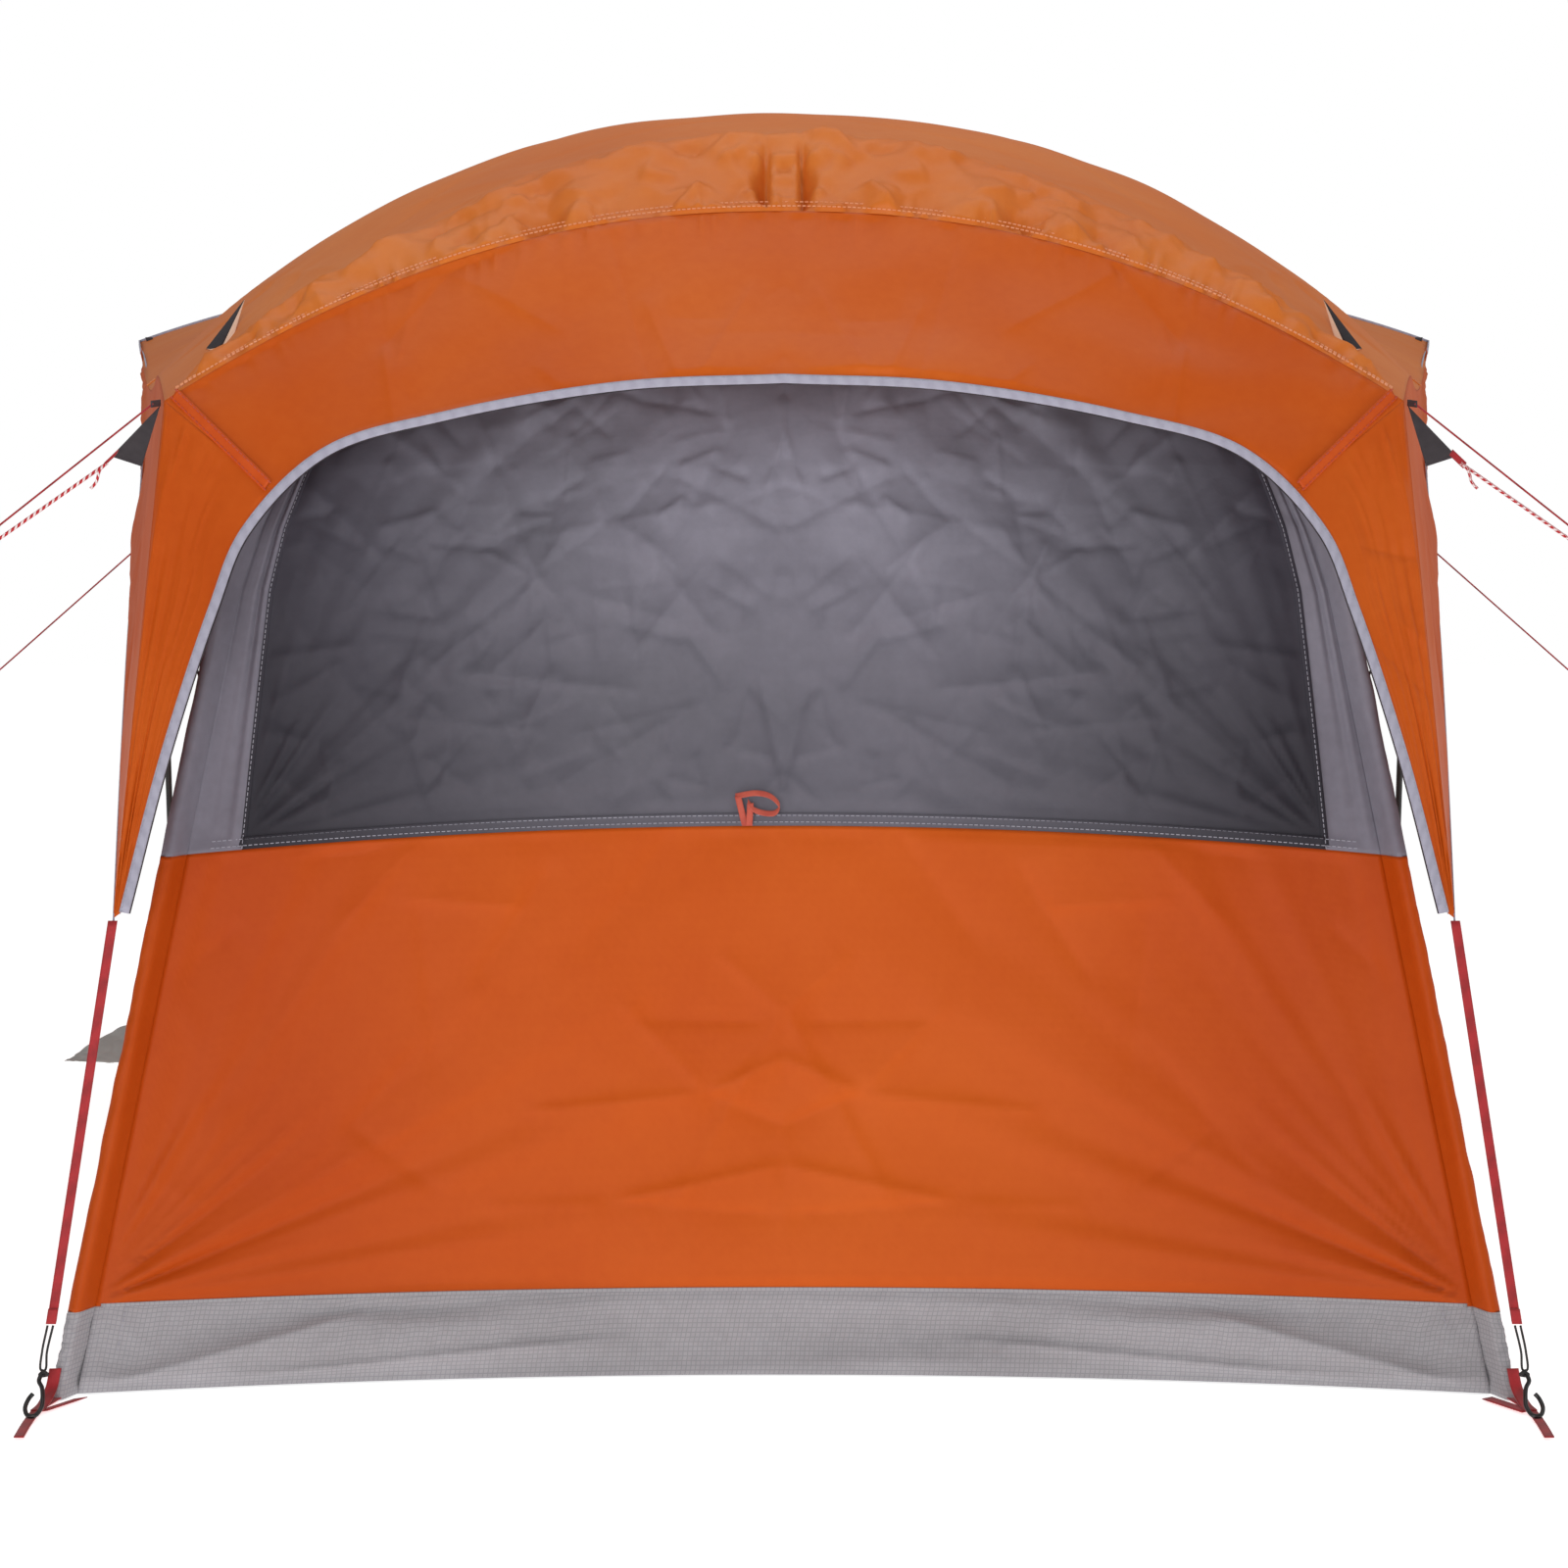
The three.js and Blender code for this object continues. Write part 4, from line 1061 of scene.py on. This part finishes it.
# Corner ties
def makeTube(name, route, radius, material, replaced=(), rider="tent", samples=120, sections=12):
    # round cord or rod along a route
    line = routeLine(route, samples)
    tangent = np.gradient(line, axis=0)
    tangent /= np.linalg.norm(tangent, axis=-1, keepdims=True)
    side = np.cross(tangent[0], (0.13, 0.21, 0.97) if abs(tangent[0][2]) < 0.9 else (1.0, 0.1, 0.0))
    verts, faces = [], []
    for k in range(samples + 1):
        side = side - tangent[k] * np.dot(side, tangent[k])
        side /= np.linalg.norm(side)
        up = np.cross(tangent[k], side)
        for j in range(sections):
            a = 2 * math.pi * j / sections
            verts.append(tuple(line[k] + radius * (math.cos(a) * side + math.sin(a) * up)))
    for k in range(samples):
        for j in range(sections):
            a, b = k * sections + j, k * sections + (j + 1) % sections
            faces.append((a, b, b + sections, a + sections))
    faces.append(tuple(range(sections))[::-1])
    faces.append(tuple(samples * sections + j for j in range(sections)))
    mesh = bpy.data.meshes.new(name)
    mesh.from_pydata(verts, [], faces)
    layer = mesh.uv_layers.new(name="cloth")
    total = np.concatenate([[0], np.cumsum(np.linalg.norm(np.diff(line, axis=0), axis=-1))])
    for loop in mesh.loops:
        k, j = divmod(loop.vertex_index, sections)
        layer.data[loop.index].uv = (j / sections * 2 * math.pi * radius, total[min(k, samples)])
    mesh.polygons.foreach_set("use_smooth", [True] * len(mesh.polygons))
    mesh.materials.append(material)
    obj = bpy.data.objects.new(name, mesh)
    bpy.context.collection.objects.link(obj)
    return carry(obj, replaced, rider)


# Each piece's route is for the right-hand side; a radius makes it a tube, otherwise it is a flat tape
tiePieces = {
    "tieStrap": {"stands": "tie_strap", "width": 0.0135, "thickness": 0.0018, "route": (
        (0.957, -0.024, 0.7), (1.051, -0.034, 0.122))},
    "strapCuff": {"width": 0.0142, "thickness": 0.003, "samples": 6, "route": (
        (1.0478, -0.0362, 0.142), (1.0515, -0.0366, 0.12))},
    "tieElastic": {"stands": "tie_elastic", "radius": 0.0017, "finish": "elastic", "samples": 80, "route": (
        (1.048, -0.038, 0.118), (1.057, -0.04, 0.08), (1.06, -0.04, 0.054),
        (1.066, -0.04, 0.054), (1.064, -0.04, 0.08), (1.056, -0.038, 0.118))},
    "tieKnot": {"radius": 0.0026, "finish": "elastic", "samples": 40, "route": (
        (1.060, -0.041, 0.052), (1.066, -0.045, 0.049), (1.066, -0.038, 0.045),
        (1.058, -0.037, 0.046), (1.058, -0.045, 0.051), (1.064, -0.044, 0.054))},
    "cornerWebbing": {"stands": "corner_webbing", "width": 0.014, "thickness": 0.002, "route": (
        (1.052, -0.006, 0.0042), (1.064, -0.07, 0.004), (1.062, -0.135, 0.004), (1.056, -0.205, 0.004))},
    "cornerPlate": {"width": 0.017, "thickness": 0.002, "samples": 24, "across": (1.0, 0.1, 0.0), "route": (
        (1.054, -0.005, 0.047), (1.058, -0.012, 0.022), (1.061, -0.045, 0.007), (1.063, -0.08, 0.006))},
    "cornerGusset": {"width": 0.02, "thickness": 0.0015, "samples": 8, "across": (0.85, 0.5, 0.0), "route": (
        (1.018, -0.004, 0.003), (1.058, -0.075, 0.0035))},
    "tieHookBody": {"stands": "tie_hook", "rider": "hook", "radius": 0.0032, "finish": "hook", "samples": 90,
                    "route": (
        (1.064, -0.042, 0.050), (1.066, -0.052, 0.042), (1.058, -0.068, 0.036), (1.052, -0.088, 0.028),
        (1.050, -0.104, 0.017), (1.056, -0.116, 0.009), (1.066, -0.116, 0.009), (1.073, -0.104, 0.016),
        (1.071, -0.090, 0.026), (1.066, -0.086, 0.032))},
    "sleeveElastic": {"stands": "sleeve_hook", "radius": 0.0018, "finish": "elastic", "samples": 60,
                      "route": (
        (0.88, 0.214, 1.176), (0.876, 0.216, 1.12), (0.884, 0.214, 1.07), (0.876, 0.214, 1.04))},
}


def makeTies():
    for name, side in sides:
        for piece, plan in tiePieces.items():
            route = placed(plan["route"], side)
            stands = [f"{plan['stands']}_{name}"] if "stands" in plan else []
            rider = f"{plan['rider']}_{name}" if "rider" in plan else "tent"
            if "radius" in plan:
                makeTube(f"{piece}_{name}", route, plan["radius"], finish[plan["finish"]],
                         stands, rider, plan["samples"])
            else:
                makeTape(f"{piece}_{name}", route, plan.get("across", (1.0, 0.0, 0.0)), plan["width"],
                         plan["thickness"], finish["red"], "red_webbing", stands,
                         plan.get("samples", 60), rider)


makeTies()


# Guy tabs and guylines
guy = {
    "start": (0.99, 0.13, 1.356), "heading": (1.0, -0.3, -0.75), "length": 0.33, "diameter": 0.005,
    "thinDiameter": 0.003, "shockStart": (0.938, 0.205, 1.447), "shockEnd": (-0.006, 0.004, 0.014),
    "sideStart": (1.172, 1.1, 1.236), "sideEnd": (1.5, 1.1, 0.95),
    "tab": ((0.934, 0.236, 1.446), (0.986, 0.138, 1.366), (0.944, 0.15, 1.352)),
    "tabLoop": ((0.978, 0.14, 1.372), (0.996, 0.128, 1.352)),
    "tabTop": ((0.934, 0.236, 1.450), (0.940, 0.202, 1.446)),
    "tail": ((0.992, 0.126, 1.354), (0.999, 0.12, 1.345), (1.004, 0.118, 1.328), (1.012, 0.116, 1.318)),
    "knot": ((0, 0, 1.0), (1.4, 0, 0.4), (0.2, 1.1, -0.6), (-1.3, 0.1, 0.2), (0.1, -1.2, 0.7),
             (1.0, 0.2, -0.4)),
}


def ropeMaterial():
    # braided guy rope: red sheath with a pale fleck spiralling round it
    material, tree = newMaterial("braidedRedFleckRope")
    uv = addNode(tree, "ShaderNodeUVMap", {"uv_map": "cloth"}).outputs["UV"]
    laid = addNode(tree, "ShaderNodeMapping", links={"Vector": uv}, Scale=(64.0, 64.0, 1.0))
    wave = addNode(tree, "ShaderNodeTexWave", {"bands_direction": "DIAGONAL"},
                   {"Vector": laid.outputs["Vector"]}, Scale=0.9, Distortion=0.5)
    colour = addNode(tree, "ShaderNodeValToRGB", links={"Fac": wave.outputs["Fac"]},
                     stops=[(0.55, "#B4141E"), (0.72, "#E9D9D8")])
    bump = addNode(tree, "ShaderNodeBump", links={"Height": wave.outputs["Fac"]}, Strength=0.5,
                   Distance=0.0006)
    shader = addNode(tree, "ShaderNodeBsdfPrincipled",
                     links={"Base Color": colour.outputs["Color"], "Normal": bump.outputs["Normal"]},
                     Roughness=0.7)
    addNode(tree, "ShaderNodeOutputMaterial", links={"Surface": shader.outputs[0]})
    return material


def makeGuys():
    rope = ropeMaterial()
    heading = np.array(guy["heading"]) / np.linalg.norm(guy["heading"])
    start = np.array(guy["start"])
    end = start + heading * guy["length"]
    share = np.linspace(0, 1, 15)
    for name, side in sides:
        runs = (
            ("guyline", start, end, guy["diameter"], rope, "guy_rope"),
            ("shock_line", np.array(guy["shockStart"]), end + guy["shockEnd"], guy["thinDiameter"],
             finish["red"], "thin_line"),
            ("side_guyline", np.array(guy["sideStart"]), np.array(guy["sideEnd"]), guy["thinDiameter"],
             finish["red"], "thin_line"),
        )
        for kind, a, b, diameter, material, slot in runs:
            route = placed([lerp(a, b, t) for t in share], side)
            piece = makeTube(f"{kind}Cord_{name}", route, diameter / 2, material, [f"{kind}_{name}"],
                             samples=100, sections=8)
            knotRoute = [route[-1] + np.array(q) * diameter for q in guy["knot"]]
            makeTube(f"{kind}Knot_{name}", knotRoute, diameter / 2, material, samples=40, sections=8)
        top, tip, low = [np.array(q) for q in placed(guy["tab"], side)]

        def tab(u, v, top=top, tip=tip, low=low):
            return lerp(top, lerp(low, tip, u[..., None]), lerp(0.02, 1.0, v)[..., None])
        makeCloth(f"guyTabCloth_{name}", tab, 20, 20, None, finish["tab"], [f"guy_tab_{name}"],
                  declare=False)
        loop = placed(guy["tabLoop"], side)
        makeTape(f"guyTabLoop_{name}", loop, (0.5, 0.0, 0.86), 0.010, 0.002, finish["red"], "red_webbing", [],
                 samples=8)
        upper = placed(guy["tabTop"], side)
        makeTape(f"guyTabTop_{name}", upper, (0.0, 0.0, 1.0), 0.010, 0.002, finish["tab"], "tab", [],
                 samples=6)
        tail = placed(guy["tail"], side)
        makeTube(f"guyTail_{name}", tail, 0.0022, rope, samples=24, sections=8)


makeGuys()
print("ties and guylines made")


# Loose pieces
hemLoopPlan = {
    "out": 0.009, "thickness": 0.0016, "legWidth": 0.010, "bowWidth": 0.009,
    "legs": (((-0.070, -0.006, 0.046), (-0.059, -0.003, 0.001)),
             ((-0.051, -0.008, 0.036), (-0.053, -0.004, 0.001))),
    "bow": ((-0.074, -0.004, 0.046), (-0.042, -0.008, 0.051), (-0.020, -0.010, 0.046),
            (-0.007, -0.008, 0.031), (-0.014, -0.010, 0.021), (-0.044, -0.009, 0.025),
            (-0.055, -0.007, 0.038)),
}


def hemLoop():
    plan = hemLoopPlan
    middle = nearWall(np.array([0.5]), np.array([body["hemZ"] + body["hemRise"]]))[0]
    centre = middle + (0, -plan["out"], 0)
    for k, leg in enumerate(plan["legs"]):
        makeTape(f"hemLoopLeg_{k}", [centre + q for q in leg], (1.0, 0.0, 0.0), plan["legWidth"],
                 plan["thickness"], finish["loop"], "red_webbing", ["hem_loop"] if k == 0 else [], samples=10)
    makeTape("hemLoopBow", [centre + q for q in plan["bow"]], (0.0, 0.35, 0.93), plan["bowWidth"],
             plan["thickness"], finish["loop"], "red_webbing", [], samples=60)


flapPlan = {"x": (-1.784, -1.592), "y": (3.04, 3.19), "skew": 0.03, "z": 0.006, "curl": 0.08}


def flapAt(u, v):
    x = lerp(*flapPlan["x"], u)
    y = lerp(*flapPlan["y"], v) - flapPlan["skew"] * u - midY
    return points(x, y, flapPlan["z"] + flapPlan["curl"] * np.sin(u * math.pi * 0.55) * v)


hemLoop()
makeCloth("groundFlapCloth", flapAt, 40, 30, lambda u, v, p: crumple(u * 0.2, v * 0.15, 0.06, 121) * 0.003,
          finish["flap"], ["ground_flap"])

carried = {
    "main_pole_a": "pole", "main_pole_b": "pole", "brow_pole": "pole", "awning_upright_left": "upright",
    "awning_upright_right": "upright", "zip_slider": "hook",
    "guy_runner_left": "hook", "guy_runner_right": "hook",
}
for node, key in carried.items():
    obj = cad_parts[node]
    obj.data.materials.clear()
    obj.data.materials.append(finish[key])
print("carried pieces painted")


# Floor and light
studio = {
    "sky": 0.32, "floorHalf": 40.0, "floorZ": -0.001, "floorGlow": 0.7,
    "topSoftbox": {"power": 78.0, "place": (0.0, -0.3, 5.2), "size": 4.0, "aim": (0.0, 0.0, 1.0)},
    "frontSoftbox": {"power": 100.0, "place": (-1.0, -6.6, 1.15), "size": 2.0, "aim": (0.0, -1.0, 1.05)},
    "sideSoftbox": {"power": 34.0, "place": (5.0, -1.5, 3.0), "size": 2.5, "aim": (0.0, 0.0, 0.9)},
}


def makeStudio():
    mesh = bpy.data.meshes.new("studioFloor")
    size = studio["floorHalf"]
    corners = [(x * size, y * size, studio["floorZ"]) for x, y in ((-1, -1), (1, -1), (1, 1), (-1, 1))]
    mesh.from_pydata(corners, [], [(0, 1, 2, 3)])
    stage = bpy.data.objects.new("studioFloor", mesh)
    bpy.context.collection.objects.link(stage)
    material, tree = newMaterial("paleStudioPaper")
    shader = addNode(tree, "ShaderNodeBsdfPrincipled", Roughness=0.9, Base_Color=linear("#FBFBFB"),
                     Emission_Color=(1.0, 1.0, 1.0, 1.0), Emission_Strength=studio["floorGlow"])
    addNode(tree, "ShaderNodeOutputMaterial", links={"Surface": shader.outputs[0]})
    mesh.materials.append(material)
    world = bpy.data.worlds.new("softWhite")
    world.use_nodes = True
    tree = world.node_tree
    tree.nodes.clear()
    seen = addNode(tree, "ShaderNodeLightPath").outputs["Is Camera Ray"]
    level = addNode(tree, "ShaderNodeMapRange", links={"Value": seen}, To_Min=studio["sky"])
    back = addNode(tree, "ShaderNodeBackground", links={"Strength": level.outputs["Result"]},
                   Color=(1.0, 1.0, 1.0, 1.0))
    addNode(tree, "ShaderNodeOutputWorld", links={"Surface": back.outputs[0]})
    bpy.context.scene.world = world
    bpy.context.scene.view_settings.view_transform = "Standard"
    for name in ("topSoftbox", "frontSoftbox", "sideSoftbox"):
        box = studio[name]
        data = bpy.data.lights.new(name, "AREA")
        data.energy = box["power"]
        data.shape = "SQUARE"
        data.size = box["size"]
        light = bpy.data.objects.new(name, data)
        light.location = box["place"]
        aim = Vector(box["aim"]) - Vector(box["place"])
        light.rotation_euler = aim.to_track_quat("-Z", "Y").to_euler()
        bpy.context.collection.objects.link(light)


makeStudio()
print("studio set")
